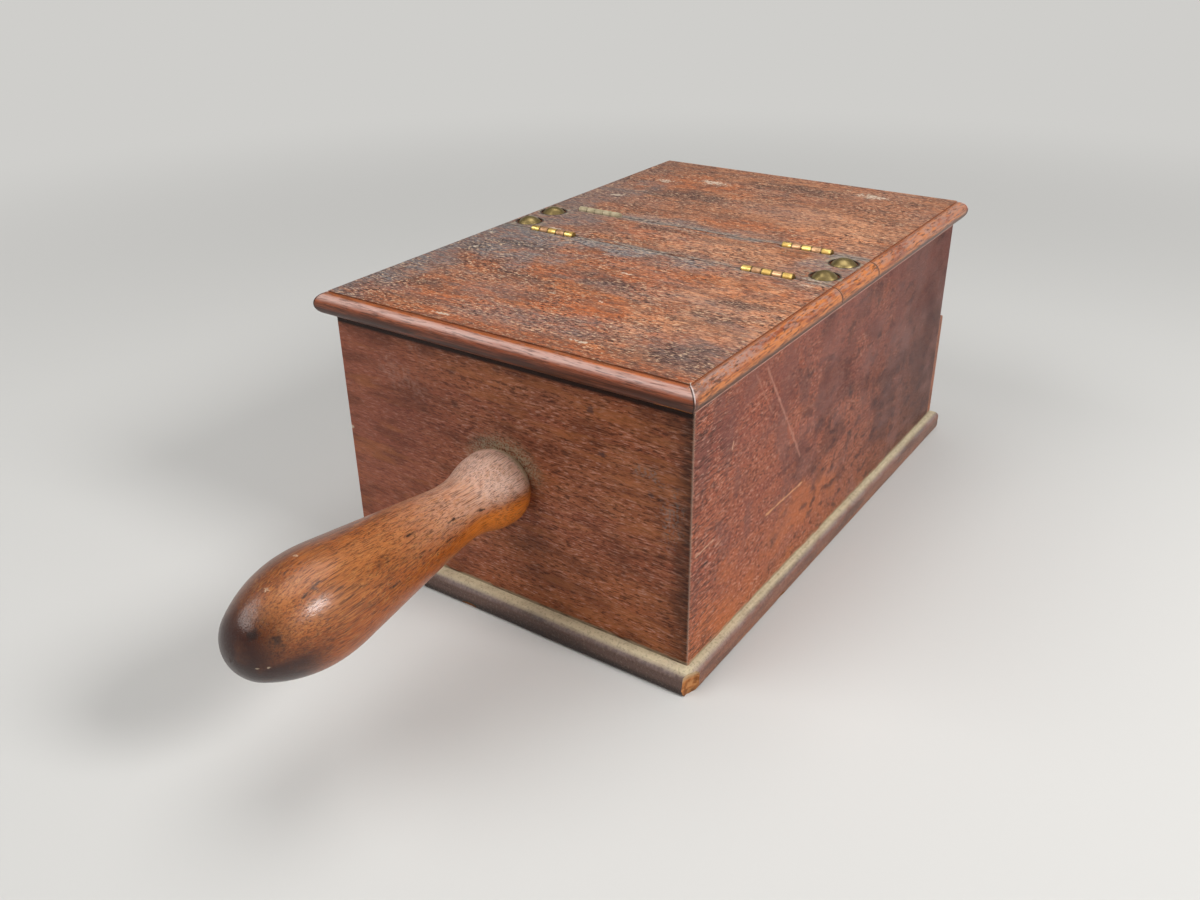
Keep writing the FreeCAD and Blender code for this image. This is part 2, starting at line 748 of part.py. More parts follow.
# Turned handle: shoulder, collar, hollow to the neck, straight taper to the swell, round tip
shoulder_step = "(collar_radius - shoulder_radius)"
shoulder_round = f"((collar_place^2 + {shoulder_step}^2) / (2 * {shoulder_step}))"
hollow_run = "(neck_place - collar_place)"
hollow_drop = "(collar_radius - neck_radius)"
hollow_round = f"(({hollow_run}^2 + {hollow_drop}^2) / (4 * {hollow_drop}))"
taper_run = "(bulb_place - neck_place)"
taper_rise = "(bulb_radius - neck_radius)"
taper_rounds = "(neck_round + bulb_round)"
taper_length = f"sqrt({taper_run}^2 + {taper_rise}^2 - 2 * {taper_rounds} * {taper_rise})"
taper_angle = f"(atan2({taper_rounds}; {taper_length}) - atan2({taper_rounds} - {taper_rise}; {taper_run}))"
bend_run = f"sin({taper_angle})"
bend_rise = f"(1 - cos({taper_angle}))"
tip_middle = "(handle_length - tip_round)"
swell_run = f"({tip_middle} - bulb_place)"
swell_round = f"(({swell_run}^2 + bulb_radius^2 - tip_round^2) / (2 * (bulb_radius - tip_round)))"
tip_share = f"(tip_round / ({swell_round} - tip_round))"

handle = turned("handle", "YZ_Plane", "H_Axis", [
    ("wall_thickness", "0"),
    ("wall_thickness", "tenon_radius"),
    ("0", "tenon_radius"),
    ("0", "shoulder_radius"),
    ("-collar_place", "collar_radius"),
    ("-(collar_place + neck_place) / 2", "(collar_radius + neck_radius) / 2"),
    ("-neck_place", "neck_radius"),
    (f"-(neck_place + neck_round * {bend_run})", f"neck_radius + neck_round * {bend_rise}"),
    (f"-(bulb_place - bulb_round * {bend_run})", f"bulb_radius - bulb_round * {bend_rise}"),
    ("-bulb_place", "bulb_radius"),
    (f"-({tip_middle} + {tip_share} * {swell_run})", f"{tip_share} * ({swell_round} - bulb_radius)"),
    ("-handle_length", "0"),
], {
    3: (("-collar_place", f"collar_radius - {shoulder_round}"), True),
    4: (("-collar_place", f"collar_radius - {hollow_round}"), True),
    5: (("-neck_place", f"neck_radius + {hollow_round}"), False),
    6: (("-neck_place", "neck_radius + neck_round"), False),
    8: (("-bulb_place", "bulb_radius - bulb_round"), True),
    9: (("-bulb_place", f"bulb_radius - {swell_round}"), True),
    10: ((f"-{tip_middle}", "0"), True),
})
kerf_tip = "wall_thickness - wedge_length"
kerf = [
    ("-(wedge_tip / 2 + wedge_clearance)", kerf_tip),
    ("wedge_tip / 2 + wedge_clearance", kerf_tip),
    ("wedge_thickness / 2 + wedge_clearance", "wall_thickness"),
    ("wedge_thickness / 2 + wedge_clearance", f"wall_thickness + {past}"),
    ("-(wedge_thickness / 2 + wedge_clearance)", f"wall_thickness + {past}"),
    ("-(wedge_thickness / 2 + wedge_clearance)", "wall_thickness"),
]
pocket(handle, outline(handle, "XY_Plane", kerf), f"2 * (tenon_radius + {past})", symmetric=True)
node(place(handle, "0", f"-{half_length}", handle_axis), "handle")

wedge = new_body("handle_wedge")
wedge_plan = [
    ("-wedge_tip / 2", kerf_tip), ("wedge_tip / 2", kerf_tip),
    ("wedge_thickness / 2", "wall_thickness"), ("-wedge_thickness / 2", "wall_thickness"),
]
pad(wedge, outline(wedge, "XY_Plane", wedge_plan), "wedge_height", symmetric=True)
node(place(wedge, "0", f"-{half_length}", handle_axis), "handle_wedge")

doc.recompute()
for thing in doc.Objects:
    if "Invalid" in thing.State or "Error" in thing.State:
        raise RuntimeError(f"{thing.Label} failed to build")
os.makedirs("parts", exist_ok=True)
for piece in nodes:
    if piece.Shape.isNull() or not piece.Shape.isValid():
        raise RuntimeError(f"{piece.Label} has no valid shape")
for piece in nodes:
    piece.Shape.exportStep(os.path.join("parts", f"{piece.Label}.step"))
    print(f"{piece.Label}: {len(piece.Shape.Solids)} solid(s), {piece.Shape.Volume:.1f} mm3")
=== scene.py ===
import math

import bpy
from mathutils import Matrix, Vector


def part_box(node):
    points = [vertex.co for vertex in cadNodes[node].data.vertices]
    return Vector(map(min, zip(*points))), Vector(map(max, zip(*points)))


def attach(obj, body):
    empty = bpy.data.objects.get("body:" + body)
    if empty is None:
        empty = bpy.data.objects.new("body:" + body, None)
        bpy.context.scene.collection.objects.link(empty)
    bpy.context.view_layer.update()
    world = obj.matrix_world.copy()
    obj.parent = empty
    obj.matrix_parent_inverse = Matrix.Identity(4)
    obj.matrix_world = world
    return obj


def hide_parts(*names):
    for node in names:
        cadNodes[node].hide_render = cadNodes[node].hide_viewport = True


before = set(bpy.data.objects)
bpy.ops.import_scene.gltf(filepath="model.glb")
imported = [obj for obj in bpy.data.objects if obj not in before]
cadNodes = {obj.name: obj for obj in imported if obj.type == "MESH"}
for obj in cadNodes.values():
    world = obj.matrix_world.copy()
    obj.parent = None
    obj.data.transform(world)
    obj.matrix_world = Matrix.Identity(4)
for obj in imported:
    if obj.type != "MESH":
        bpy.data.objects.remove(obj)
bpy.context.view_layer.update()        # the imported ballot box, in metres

scene = bpy.context.scene
print("frame loaded:", len(cadNodes), "pieces")


def pieceBox(name):        # a solid's lowest and highest corner, in millimetres
    return [[round(1000 * part, 3) for part in corner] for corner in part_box(name)]


def hexColour(code):
    parts = [int(code[i:i + 2], 16) / 255 for i in (1, 3, 5)]
    return tuple(p / 12.92 if p <= 0.04045 else ((p + 0.055) / 1.055) ** 2.4 for p in parts) + (1.0,)


def addNode(tree, kind, inputs=None, out=0, **settings):
    node = tree.nodes.new(kind)
    for name, value in settings.items():
        setattr(node, name, value)
    for key, value in (inputs or {}).items():
        if isinstance(value, bpy.types.NodeSocket):
            tree.links.new(value, node.inputs[key])
        else:
            node.inputs[key].default_value = value
    return node.outputs[out] if node.outputs else node


def newMaterial(name):
    material = bpy.data.materials.new(name)
    material.use_nodes = True
    material.node_tree.nodes.clear()
    return material, material.node_tree


def dress(material, *names):
    for name in names:
        mesh = cadNodes[name].data
        mesh.materials.clear()
        mesh.materials.append(material)


def surfacePoint(tree):        # in the part's own frame, in millimetres
    point = addNode(tree, "ShaderNodeTexCoord", out="Object")
    return addNode(tree, "ShaderNodeVectorMath", {0: point, "Scale": 1000.0}, operation="SCALE")


# Soft patches: a cell in millimetres, and the noise at which a patch starts and is full
def pattern(tree, where, cell, low, high, least=0.0, detail=2.0):
    cells = addNode(tree, "ShaderNodeMapping", {"Vector": where, "Scale": cell}, vector_type="TEXTURE")
    noise = addNode(tree, "ShaderNodeTexNoise", {"Vector": cells, "Scale": 1.0, "Detail": detail})
    return addNode(tree, "ShaderNodeMapRange",
                   {"Value": noise, "From Min": low, "From Max": high, "To Min": least},
                   interpolation_type="SMOOTHSTEP")


def zone(tree, where, axis, start, full):        # 0 up to start, 1 from full on, along one axis
    along = addNode(tree, "ShaderNodeSeparateXYZ", {0: where}, axis)
    return addNode(tree, "ShaderNodeMapRange", {"Value": along, "From Min": start, "From Max": full},
                   interpolation_type="SMOOTHSTEP")


def around(tree, where, middle, outer, inner):        # 0 beyond the outer distance, 1 within the inner one
    gap = addNode(tree, "ShaderNodeVectorMath", {0: where, 1: middle}, "Value", operation="DISTANCE")
    return addNode(tree, "ShaderNodeMapRange", {"Value": gap, "From Min": outer, "From Max": inner},
                   interpolation_type="SMOOTHSTEP")


def spots(tree, place, marks, ragged=0.5, cell=5.0):        # uneven stains, each a centre and its reach
    nearest = None
    for centre, reach in marks:
        local = addNode(tree, "ShaderNodeMapping", {"Vector": place, "Location": centre, "Scale": reach},
                        vector_type="TEXTURE")
        gap = addNode(tree, "ShaderNodeVectorMath", {0: local}, "Value", operation="LENGTH")
        if nearest is not None:
            gap = addNode(tree, "ShaderNodeMath", {0: nearest, 1: gap}, operation="MINIMUM")
        nearest = gap
    uneven = pattern(tree, place, (cell, cell, cell), 0.25, 0.75, detail=3.0)
    edge = addNode(tree, "ShaderNodeMath", {0: uneven, 1: 2 * ragged, 2: nearest}, operation="MULTIPLY_ADD")
    return addNode(tree, "ShaderNodeMapRange",
                   {"Value": edge, "From Min": 1 + ragged, "From Max": 0.3 + ragged},
                   interpolation_type="SMOOTHSTEP")


def scratches(tree, place, lines, width):        # thin marks, each from one point to another
    nearest = None
    for start, end in lines:
        run = Vector(end) - Vector(start)
        offset = addNode(tree, "ShaderNodeVectorMath", {0: place, 1: start}, operation="SUBTRACT")
        share = addNode(tree, "ShaderNodeVectorMath", {0: offset, 1: run / run.length_squared}, "Value",
                        operation="DOT_PRODUCT")
        share = addNode(tree, "ShaderNodeClamp", {"Value": share})
        onLine = addNode(tree, "ShaderNodeVectorMath", {0: run, "Scale": share}, operation="SCALE")
        gap = addNode(tree, "ShaderNodeVectorMath", {0: offset, 1: onLine}, "Value", operation="DISTANCE")
        if nearest is not None:
            gap = addNode(tree, "ShaderNodeMath", {0: nearest, 1: gap}, operation="MINIMUM")
        nearest = gap
    wobble = pattern(tree, place, (3, 3, 3), 0.2, 0.8)
    edge = addNode(tree, "ShaderNodeMath", {0: wobble, 1: width / 2, 2: nearest}, operation="MULTIPLY_ADD")
    return addNode(tree, "ShaderNodeMapRange",
                   {"Value": edge, "From Min": 0.8 * width, "From Max": 0.3 * width},
                   interpolation_type="SMOOTHSTEP")


def wornEdges(tree, width):        # 1 on the arrises, over that width in millimetres
    rounded = addNode(tree, "ShaderNodeBevel", {"Radius": width / 1000}, samples=4)
    flat = addNode(tree, "ShaderNodeNewGeometry", out="Normal")
    agree = addNode(tree, "ShaderNodeVectorMath", {0: rounded, 1: flat}, "Value", operation="DOT_PRODUCT")
    return addNode(tree, "ShaderNodeMapRange", {"Value": agree, "From Min": 0.985, "From Max": 0.86},
                   interpolation_type="SMOOTHSTEP")


def shareOf(tree, share, *masks):        # a share that holds where all the masks do
    for mask in masks:
        share = addNode(tree, "ShaderNodeMath", {0: mask, 1: share}, operation="MULTIPLY")
    return share


def either(tree, *masks):        # the strongest of the masks
    strongest = masks[0]
    for mask in masks[1:]:
        strongest = addNode(tree, "ShaderNodeMath", {0: strongest, 1: mask}, operation="MAXIMUM")
    return strongest


def paintOver(tree, base, layers):        # each layer: its colour, its share, and the masks it keeps to
    for coat, share, *masks in layers:
        amount = shareOf(tree, share, *masks)
        base = addNode(tree, "ShaderNodeMix", {0: amount, 6: base, 7: hexColour(coat)}, 2, data_type="RGBA")
    return base


def specks(tree, where, cell, dark, pale, *masks):        # two layers of fine grit that never overlap
    return [(*dark, pattern(tree, where, cell, 0.46, 0.36), *masks),
            (*pale, pattern(tree, where, cell, 0.56, 0.68), *masks)]


# Mahogany: fine even fibre with short dark pores along it and broad soft ribbons of lighter wood.
# The pores are really about 0.2 mm wide, drawn wider here so that they show.
mahogany = {
    "mid": "#a95f3a", "ribbon": "#c07744", "dark": "#743d28", "fibre": "#d1946a", "pore": "#34190f",
    "waveCell": (60, 12, 12), "waveDepth": 5.0, "ribbonCell": (130, 15, 15), "darkCell": (44, 2.4, 2.4),
    "fibreCell": (12, 0.8, 0.8), "poreCell": (4.0, 0.45, 0.45),
    "ribbonShare": 0.7, "darkShare": 0.45, "fibreShare": 0.35, "poreShare": 0.45,
    "ior": 1.45, "polishRoughness": 0.22,
}
grainTurns = {"x": (0, 0, 0), "y": (0, 0, -math.pi / 2)}


def woodGrain(tree, look):
    place = surfacePoint(tree)
    turn = grainTurns[look["grainAlong"]]
    grain = addNode(tree, "ShaderNodeMapping",
                    {"Vector": place, "Rotation": turn, "Location": look["cutFrom"]})
    cells = addNode(tree, "ShaderNodeMapping", {"Vector": grain, "Scale": look["waveCell"]},
                    vector_type="TEXTURE")
    wander = addNode(tree, "ShaderNodeTexNoise", {"Vector": cells, "Scale": 1.0, "Detail": 2.0}, "Color")
    depth = (0, look["waveDepth"], look["waveDepth"])
    grain = addNode(tree, "ShaderNodeVectorMath", {0: wander, 1: depth, 2: grain}, operation="MULTIPLY_ADD")
    pores = pattern(tree, grain, look["poreCell"], 0.56, 0.64, detail=1.0)
    colour = paintOver(tree, hexColour(look["mid"]), [
        (look["ribbon"], look["ribbonShare"], pattern(tree, grain, look["ribbonCell"], 0.38, 0.62)),
        (look["dark"], look["darkShare"], pattern(tree, grain, look["darkCell"], 0.44, 0.62, detail=3.0)),
        (look["fibre"], look["fibreShare"], pattern(tree, grain, look["fibreCell"], 0.50, 0.64)),
        (look["pore"], look["poreShare"], pores),
    ])
    return place, grain, colour, pores


def finishWood(tree, colour, roughness, hollows, depth, sheen=0.5, polish=0.0):        # depth of pores in mm
    bump = addNode(tree, "ShaderNodeBump", {"Height": hollows, "Distance": depth / 1000}, invert=True)
    wood = addNode(tree, "ShaderNodeBsdfPrincipled", {
        "Base Color": colour, "Roughness": roughness, "IOR": mahogany["ior"], "Specular IOR Level": sheen,
        "Normal": bump, "Coat Weight": polish, "Coat Roughness": mahogany["polishRoughness"],
        "Coat Normal": bump})
    addNode(tree, "ShaderNodeOutputMaterial", {"Surface": wood})


# Lids and centre strip: polish gone dull on top under dust, grit and stains, still glossy on the rounded
# edges. The grit is really much finer, drawn coarser so that it shows.
lidLow, lidHigh = pieceBox("near_lid")
quirkDepth = 0.6        # step between the flat top and the rounded edge
edgeRound = (lidHigh[2] - lidLow[2] - quirkDepth) / 2
lidLook = dict(
    mahogany, grainAlong="x", mid="#ac5d34", ribbon="#bc7142", dark="#7e4328", fibre="#c88a5e",
    faded="#b58a6e", warm="#c86a30", paintedSheen="#dc9a70", shade="#6d483a", dust="#837c7b", jointDust="#8a847d",
    grime="#413a3b", darkGrit="#341d17", paleGrit="#e0bd9a", fleck="#dccab4", bare="#8b5f47",
    nosing="#9a4b31", nosingShade="#341b12", edgeGrey="#a4857b", edgeOrange="#c8702f", dustAndHighlight="#cfa79a",
    rubbed="#cf7f45", rubbedShade="#85462a", quirk="#33190f", arris="#c9a58e", mitreShine="#d8d0ce",
    socketDust="#9b917d", socketShade="#2b2019",
    top=lidHigh[2], step=lidHigh[2] - quirkDepth, underside=lidLow[2],
    flatHalfWidth=lidHigh[0] - edgeRound, flatHalfLength=-lidLow[1] - edgeRound,
    jointAt=(pieceBox("centre_strip")[1][1] - lidHigh[1]) / 2, mitreWidth=0.35, markDepth=8,
    stud=(81, 10.25), studReach=(7.7, 6.8), socketReach=(10.5, 8.5, 6.0))
lidCells = {        # patterns on the lids, in millimetres along x, y and z
    "cloud": (70, 24, 24), "film": (6.0, 1.4, 1.4), "jointDust": (12, 3, 3), "gritPatch": (24, 24, 24),
    "shade": (20, 8, 8), "smallShade": (6, 2.4, 2.4), "grit": (2.0, 0.75, 0.75), "crumb": (2.4, 1.3, 1.3),
    "shadow": (36, 1.8, 1.8), "streak": (16, 0.8, 0.8), "dryGrain": (9, 0.5, 0.5),
    "dryPale": (3.0, 0.6, 0.6), "orange": (40, 3, 3), "rose": (24, 2, 1.2),
    "rubbed": (3, 34, 3), "rubbedLine": (0.7, 7, 0.7), "cornerGrey": (0.9, 1.6, 0.9), "grey": (1.2, 5, 1.2),
    "farGrey": (1.4, 9, 1.4), "sideLine": (0.8, 5, 0.8), "cornerShade": (1.2, 4, 1.2),
}
lidPieces = {        # marks: x, y, reach along the grain, reach across it
    "near_lid": {
        "cutFrom": (35, 0, 0), "dustShare": 1.0, "fadedShare": 0.0, "quirkShare": 0.35,
        "warmth": [(25, -108, 60, 26), (-40, -118, 46, 18), (20, -45, 40, 20), (68, -62, 30, 44)],
        "paintedSheen": [(66, -72, 44, 60)],
        "dusty": [(-74, -40, 70, 46), (-88, -86, 27, 72), (-12, -24, 60, 13)],
        "stains": [(-64, -111, 11, 8), (-77, -58, 12, 7), (-34, -80, 18, 8), (3, -66, 20, 8),
                   (58, -78, 11, 8), (67, -61.5, 16, 8), (71, -81, 13, 7), (72, -121, 34, 17),
                   (-60, -44, 24, 8)],
        "flecks": [(-30, -134.5, 4, 0.9), (35, -129, 5, 1.0), (-85, -36, 1.2, 1.4), (-77, -58, 1.2, 1.2),
                   (-6, -91, 2.2, 0.9), (6, -53.5, 4, 0.8), (17.4, -89, 1.6, 0.9), (-47, -44.8, 1.2, 1.0),
                   (80, -25.8, 3.5, 1.0)],
    },
    "far_lid": {
        "cutFrom": (-160, 40, 0), "dustShare": 0.6, "fadedShare": 0.3, "quirkShare": 0.35,
        "warmth": [(40, 40, 60, 20), (-50, 100, 50, 25)],
        "paintedSheen": [(60, 60, 50, 40)],
        "dusty": [(-84, 56, 34, 60), (-10, 24, 60, 10)],
        "stains": [(-40, 74, 34, 14), (10, 116, 40, 12)],
        "flecks": [(-70.7, 55.5, 4, 2.4), (-39, 105.8, 9, 4), (-64, 96, 6, 3), (48.6, 124, 9, 4)],
    },
    "centre_strip": {
        "cutFrom": (90, -70, 0), "dustShare": 0.7, "fadedShare": 0.15, "quirkShare": 0.15,
        "warmth": [(0, 0, 50, 14)],
        "paintedSheen": [(30, 0, 50, 22)],
        "dusty": [(-78, 0, 40, 34), (80, 2, 26, 26)],
        "stains": [(-20, 12, 16, 5), (40, -12, 12, 4)],
        "flecks": [(80, -17.5, 5, 1.2), (-60, -14, 5, 1.2)],
    },
}


def onLid(marks):
    return [((x, y, lidLook["top"]), (along, across, lidLook["markDepth"])) for x, y, along, across in marks]


def lidMaterial(name, piece):
    material, tree = newMaterial(f"worn polished mahogany {name}")
    look, cells = dict(lidLook, cutFrom=piece["cutFrom"]), lidCells
    top, step, joint = look["top"], look["step"], look["jointAt"]
    flatX, flatY = look["flatHalfWidth"], look["flatHalfLength"]
    studX, studY = look["stud"]
    place, grain, colour, pores = woodGrain(tree, look)
    mirrored = addNode(tree, "ShaderNodeVectorMath", {0: place}, operation="ABSOLUTE")

    onTop = zone(tree, place, "Z", step + 0.25, top - 0.05)
    onEdge = zone(tree, place, "Z", step + 0.05, step - 0.15)
    inStep = shareOf(tree, zone(tree, place, "Z", top - 0.03, top - 0.2),
                     zone(tree, place, "Z", step - 0.35, step + 0.05))
    upperEdge = zone(tree, place, "Z", step - 3.4, step - 1.4)
    alongSide = zone(tree, mirrored, "Y", flatY + 3.0, flatY + 1.0)
    rightSide = zone(tree, place, "X", flatX - 0.4, flatX + 0.4)
    rightEdge = shareOf(tree, onEdge, rightSide, alongSide)
    frontEdge = shareOf(tree, onEdge, zone(tree, place, "Y", -flatY + 0.4, -flatY - 0.2))
    nearJoint = shareOf(tree, zone(tree, mirrored, "Y", joint + 6.0, joint + 0.8),
                        zone(tree, mirrored, "Y", joint - 6.0, joint - 0.8))
    atJoint = shareOf(tree, zone(tree, mirrored, "Y", joint + 1.4, joint + 0.4),
                      zone(tree, mirrored, "Y", joint - 1.6, joint - 0.6))
    outside = zone(tree, mirrored, "X", flatX - 0.6, flatX)
    corner = addNode(tree, "ShaderNodeVectorMath", {0: mirrored, 1: (1, -1, 0)}, "Value",
                     operation="DOT_PRODUCT")
    width = look["mitreWidth"]
    mitreLines = [addNode(tree, "ShaderNodeMath", {0: corner, 1: flatX - flatY + side * width, 2: width},
                          operation="COMPARE")
                  for side in (-1, 1)]        # the dark joint and a painted highlight on the arris beside it
    sockets = [((x, y, top), look["socketReach"]) for x in (-studX, studX) for y in (-studY, studY)]
    atStud = around(tree, mirrored, (studX, studY, top), *look["studReach"])

    clouds = pattern(tree, grain, cells["cloud"], 0.42, 0.64, detail=4.0)
    film = pattern(tree, grain, cells["film"], 0.38, 0.60, least=0.5)
    dusty = spots(tree, place, onLid(piece["dusty"]), 0.35, 14.0)
    dust = shareOf(tree, piece["dustShare"], onTop, film, either(tree, shareOf(tree, 0.45, clouds), dusty))
    jointDust = shareOf(tree, 0.85, onTop, nearJoint, pattern(tree, place, cells["jointDust"], 0.34, 0.56))
    stains = spots(tree, place, onLid(piece["stains"]), 0.35, 7.0)
    gritty = either(tree, pattern(tree, place, cells["gritPatch"], 0.4, 0.6, least=0.55), stains)
    flatTop = [
        (look["faded"], piece["fadedShare"], onTop),
        (look["warm"], 0.5, onTop, spots(tree, place, onLid(piece["warmth"]), 0.5, 20.0)),
        # painted sheen: a paler patch towards the right of the top stands in for the broad reflection of the
        # lamp on the right
        (look["paintedSheen"], 0.6, onTop, spots(tree, place, onLid(piece["paintedSheen"]), 0.4, 14.0)),
        (look["shade"], 0.5, onTop, pattern(tree, grain, cells["shade"], 0.47, 0.63, detail=4.0)),
        (look["shade"], 0.6, onTop, pattern(tree, grain, cells["smallShade"], 0.5, 0.62, detail=3.0)),
        (look["dust"], 1.0, dust), (look["jointDust"], 1.0, jointDust),
        (look["grime"], 0.5, onTop, stains),
        (look["pore"], 0.4, onTop, pores),
        (look["grime"], 0.3, onTop, zone(tree, place, "X", -30, -90)),
        *specks(tree, grain, cells["grit"], (look["darkGrit"], 0.95), (look["paleGrit"], 0.7),
                onTop, gritty),
        (look["paleGrit"], 0.7, onTop, pattern(tree, grain, cells["crumb"], 0.71, 0.76, detail=1.0)),
        (look["fleck"], 0.7, onTop, spots(tree, place, onLid(piece["flecks"]), 0.8, 1.6)),
        (look["socketDust"], 0.85, spots(tree, place, sockets, 0.5, 3.0)),
        # painted shade: a dark ring around each nail head stands in for the shadow in its socket
        (look["socketShade"], 0.9, atStud),
    ]
    roundedEdge = [
        (look["nosing"], 0.65, onEdge),
        # painted shade: the rounded edges darken on their lower, downward-turned part
        (look["nosingShade"], 0.85, onEdge, zone(tree, place, "Z", step - 2.8, step - 5.4),
         pattern(tree, grain, cells["shadow"], 0.32, 0.54, least=0.5)),
        (look["nosingShade"], 0.5, onEdge, pattern(tree, grain, cells["streak"], 0.52, 0.62)),
        (look["edgeOrange"], 0.5, frontEdge, zone(tree, place, "Z", step - 0.9, step - 0.3),
         pattern(tree, place, cells["orange"], 0.3, 0.5)),
        # dust and a painted highlight: a pale rosy band along the upper part of the front edge
        (look["dustAndHighlight"], 0.8, frontEdge, zone(tree, place, "Z", step - 3.4, step - 1.8),
         zone(tree, place, "Z", step - 0.2, step - 0.6),
         pattern(tree, place, cells["rose"], 0.32, 0.58, least=0.45)),
        (look["nosingShade"], 0.55, frontEdge,
         pattern(tree, grain, cells["dryGrain"], 0.52, 0.64, detail=3.0)),
        (look["edgeGrey"], 0.4, frontEdge, zone(tree, place, "Z", step - 5.0, step - 1.5),
         pattern(tree, grain, cells["dryPale"], 0.56, 0.68)),
        (look["rubbed"], 0.85, rightEdge, pattern(tree, place, cells["rubbed"], 0.28, 0.52)),
        (look["rubbedShade"], 0.75, rightEdge, pattern(tree, place, cells["rubbedLine"], 0.48, 0.62)),
        (look["edgeGrey"], 0.75, rightEdge, upperEdge, zone(tree, place, "Y", -76, -116),
         pattern(tree, place, cells["cornerGrey"], 0.32, 0.6)),
        (look["edgeGrey"], 0.55, rightEdge, upperEdge, pattern(tree, place, cells["grey"], 0.42, 0.6)),
        (look["edgeGrey"], 0.45, rightEdge, zone(tree, place, "Y", 10, 90),
         pattern(tree, place, cells["farGrey"], 0.36, 0.6)),
        (look["nosingShade"], 0.65, rightEdge, pattern(tree, place, cells["sideLine"], 0.56, 0.66)),
        # painted shade along the lower, downward-turned part of the right edge
        (look["nosingShade"], 0.8, rightEdge, zone(tree, place, "Z", step - 4.4, step - 6.4)),
        (look["nosingShade"], 0.4, rightEdge, zone(tree, place, "Y", -118, -140),
         pattern(tree, place, cells["cornerShade"], 0.4, 0.56)),
        (look["quirk"], piece["quirkShare"], inStep, alongSide),
        (look["shade"], 0.6, rightEdge, atJoint),
        (look["bare"], 0.7, zone(tree, place, "Z", look["underside"] + 0.9, look["underside"] + 0.4)),
        (look["arris"], 0.3, onEdge, wornEdges(tree, 1.2)),
        (look["nosingShade"], 0.85, onEdge, outside, mitreLines[0]),
        # painted highlight on the arris beside each corner mitre
        (look["mitreShine"], 0.65, outside, mitreLines[1], zone(tree, place, "Z", step - 4.6, step - 3.0)),
    ]
    colour = paintOver(tree, colour, flatTop + roundedEdge)
    dulled = either(tree, dust, shareOf(tree, 0.55, onTop), shareOf(tree, stains, onTop))
    roughness = addNode(tree, "ShaderNodeMapRange", {"Value": dulled, "To Min": 0.36, "To Max": 0.8})
    finishWood(tree, colour, roughness, shareOf(tree, pores, onTop), 0.1)
    return material


for name, piece in lidPieces.items():
    dress(lidMaterial(name, piece), name)
print("lids and strip dressed")

# Walls: satin polish on the outside with a purplish bloom, warm at the foot, bare wood inside
frontFace = pieceBox("front_board")[0][1]
sideFace = pieceBox("right_side_board")[1][0]
wallTop = pieceBox("right_side_board")[1][2]
handleLow, handleHigh = pieceBox("handle")
wallLook = dict(
    mahogany, mid="#9d513a", ribbon="#ae6040", dark="#743b2b", fibre="#bf7a5b", pore="#3a1d17",
    waveDepth=3.5, darkCell=(34, 2.4, 2.4), darkShare=0.35, fibreShare=0.3, poreShare=0.3,
    gritCell=(2.0, 0.9, 0.9), gritShare=0.65, bloomCell=(50, 50, 34), footDustCell=(9, 9, 2),
    darkGrit="#301713", paleGrit="#d6a48e", bloom="#754a42", deepRed="#431f1b", streak="#5f3526",
    warmFoot="#b5673a", scuff="#cda291", grime="#271915", raw="#d3966a", arris="#c3a390", dust="#a99a7f",
    bare="#97694e", foot=pieceBox("base_board")[1][2], markDepth=6)
frontWear = {        # spots: x, z, reach along x, reach along z
    "rosy": "#a05c4c", "goldStreak": "#b57045", "haze": "#857b74", "footShade": "#26231a", "ink": "#35323a",
    "brown": "#4c3028", "rootDust": "#b3a488", "nick": "#d8c6ae",
    "root": (0, frontFace, (handleLow[2] + handleHigh[2]) / 2), "rootReach": (25, 15.5),
    "rosyFrom": (10, -80), "grimyFrom": (60, 90), "edgeFrom": (80, 89), "rootDustFrom": (64, 82),
    "underLid": (wallTop - 5.2, wallTop - 3.8), "face": (frontFace + 0.8, frontFace + 0.2),
    "streakCell": (22, 30, 7), "goldCell": (36, 30, 4.5), "grimeCell": (9, 9, 26),
    "hazeCell": (1.4, 1.4, 1.4), "edgeCell": (6, 6, 1.6), "scuffCell": (2.4, 2.4, 2.4),
    "rootCell": (0.9, 0.9, 0.9),
    "inkSpots": [(44.6, 112.7, 2.2, 1.8), (50, 95, 2.4, 1.8), (71.6, 84, 2.6, 2.0)],
    "brownSpots": [(-24.4, 112, 3, 3), (-24.7, 97, 3, 3), (0, 118.5, 3, 2)],
    "hazeSpots": [(82, 76, 8, 16), (70, 94, 6, 5)],
    "scuffSpots": [(-44, 118, 8, 4), (-52, 103, 15, 12)],
    "nickSpot": [(-88.8, 69.4, 1.8, 1.4)],
}
rightWear = {        # spots: y, z, reach along y, reach along z; lines: y, z at one end and at the other
    "warm": "#c26c3b", "farShade": "#552c24", "endShade": "#3d211b", "paleBloom": "#8a5f57",
    "upperRed": "#7a4339", "scratch": "#be8672", "nick": "#cfa184",
    "nearFrom": (-92, -128), "beyondFrom": (-95, -15), "fartherFrom": (-60, 110), "endFrom": (40, 136),
    "bloomFrom": (25, 60), "upperFrom": (60, 118), "underLid": (wallTop - 2.0, wallTop - 1.4),
    "bloomCell": (12, 11, 20), "redCell": (16, 26, 16), "smallRedCell": (6, 10, 5), "paleCell": (12, 22, 12),
    "upperCell": (30, 30, 16), "endDarkCell": (0.7, 6, 0.7), "endPaleCell": (0.9, 4, 0.9),
    "warmSpots": [(-31, 33, 42, 20), (-110, 24, 34, 18)],
    "darkSpots": [(3.5, 103, 3, 5), (36.8, 111.8, 3, 4), (14.2, 47.3, 4, 5), (-65.2, 31.3, 3, 3),
                  (10, 76, 3, 5), (-11, 69, 3, 4)],
    "longScratch": [(-80.5, 120, -42.3, 64)], "faintScratch": [(-90, 120.4, -74, 98)],
    "rawScratch": [(-73, 49.2, -38, 48.5)],
    "nicks": [(-134, 61, -120, 61.6), (-107.5, 96, -106.5, 98.5)],
}


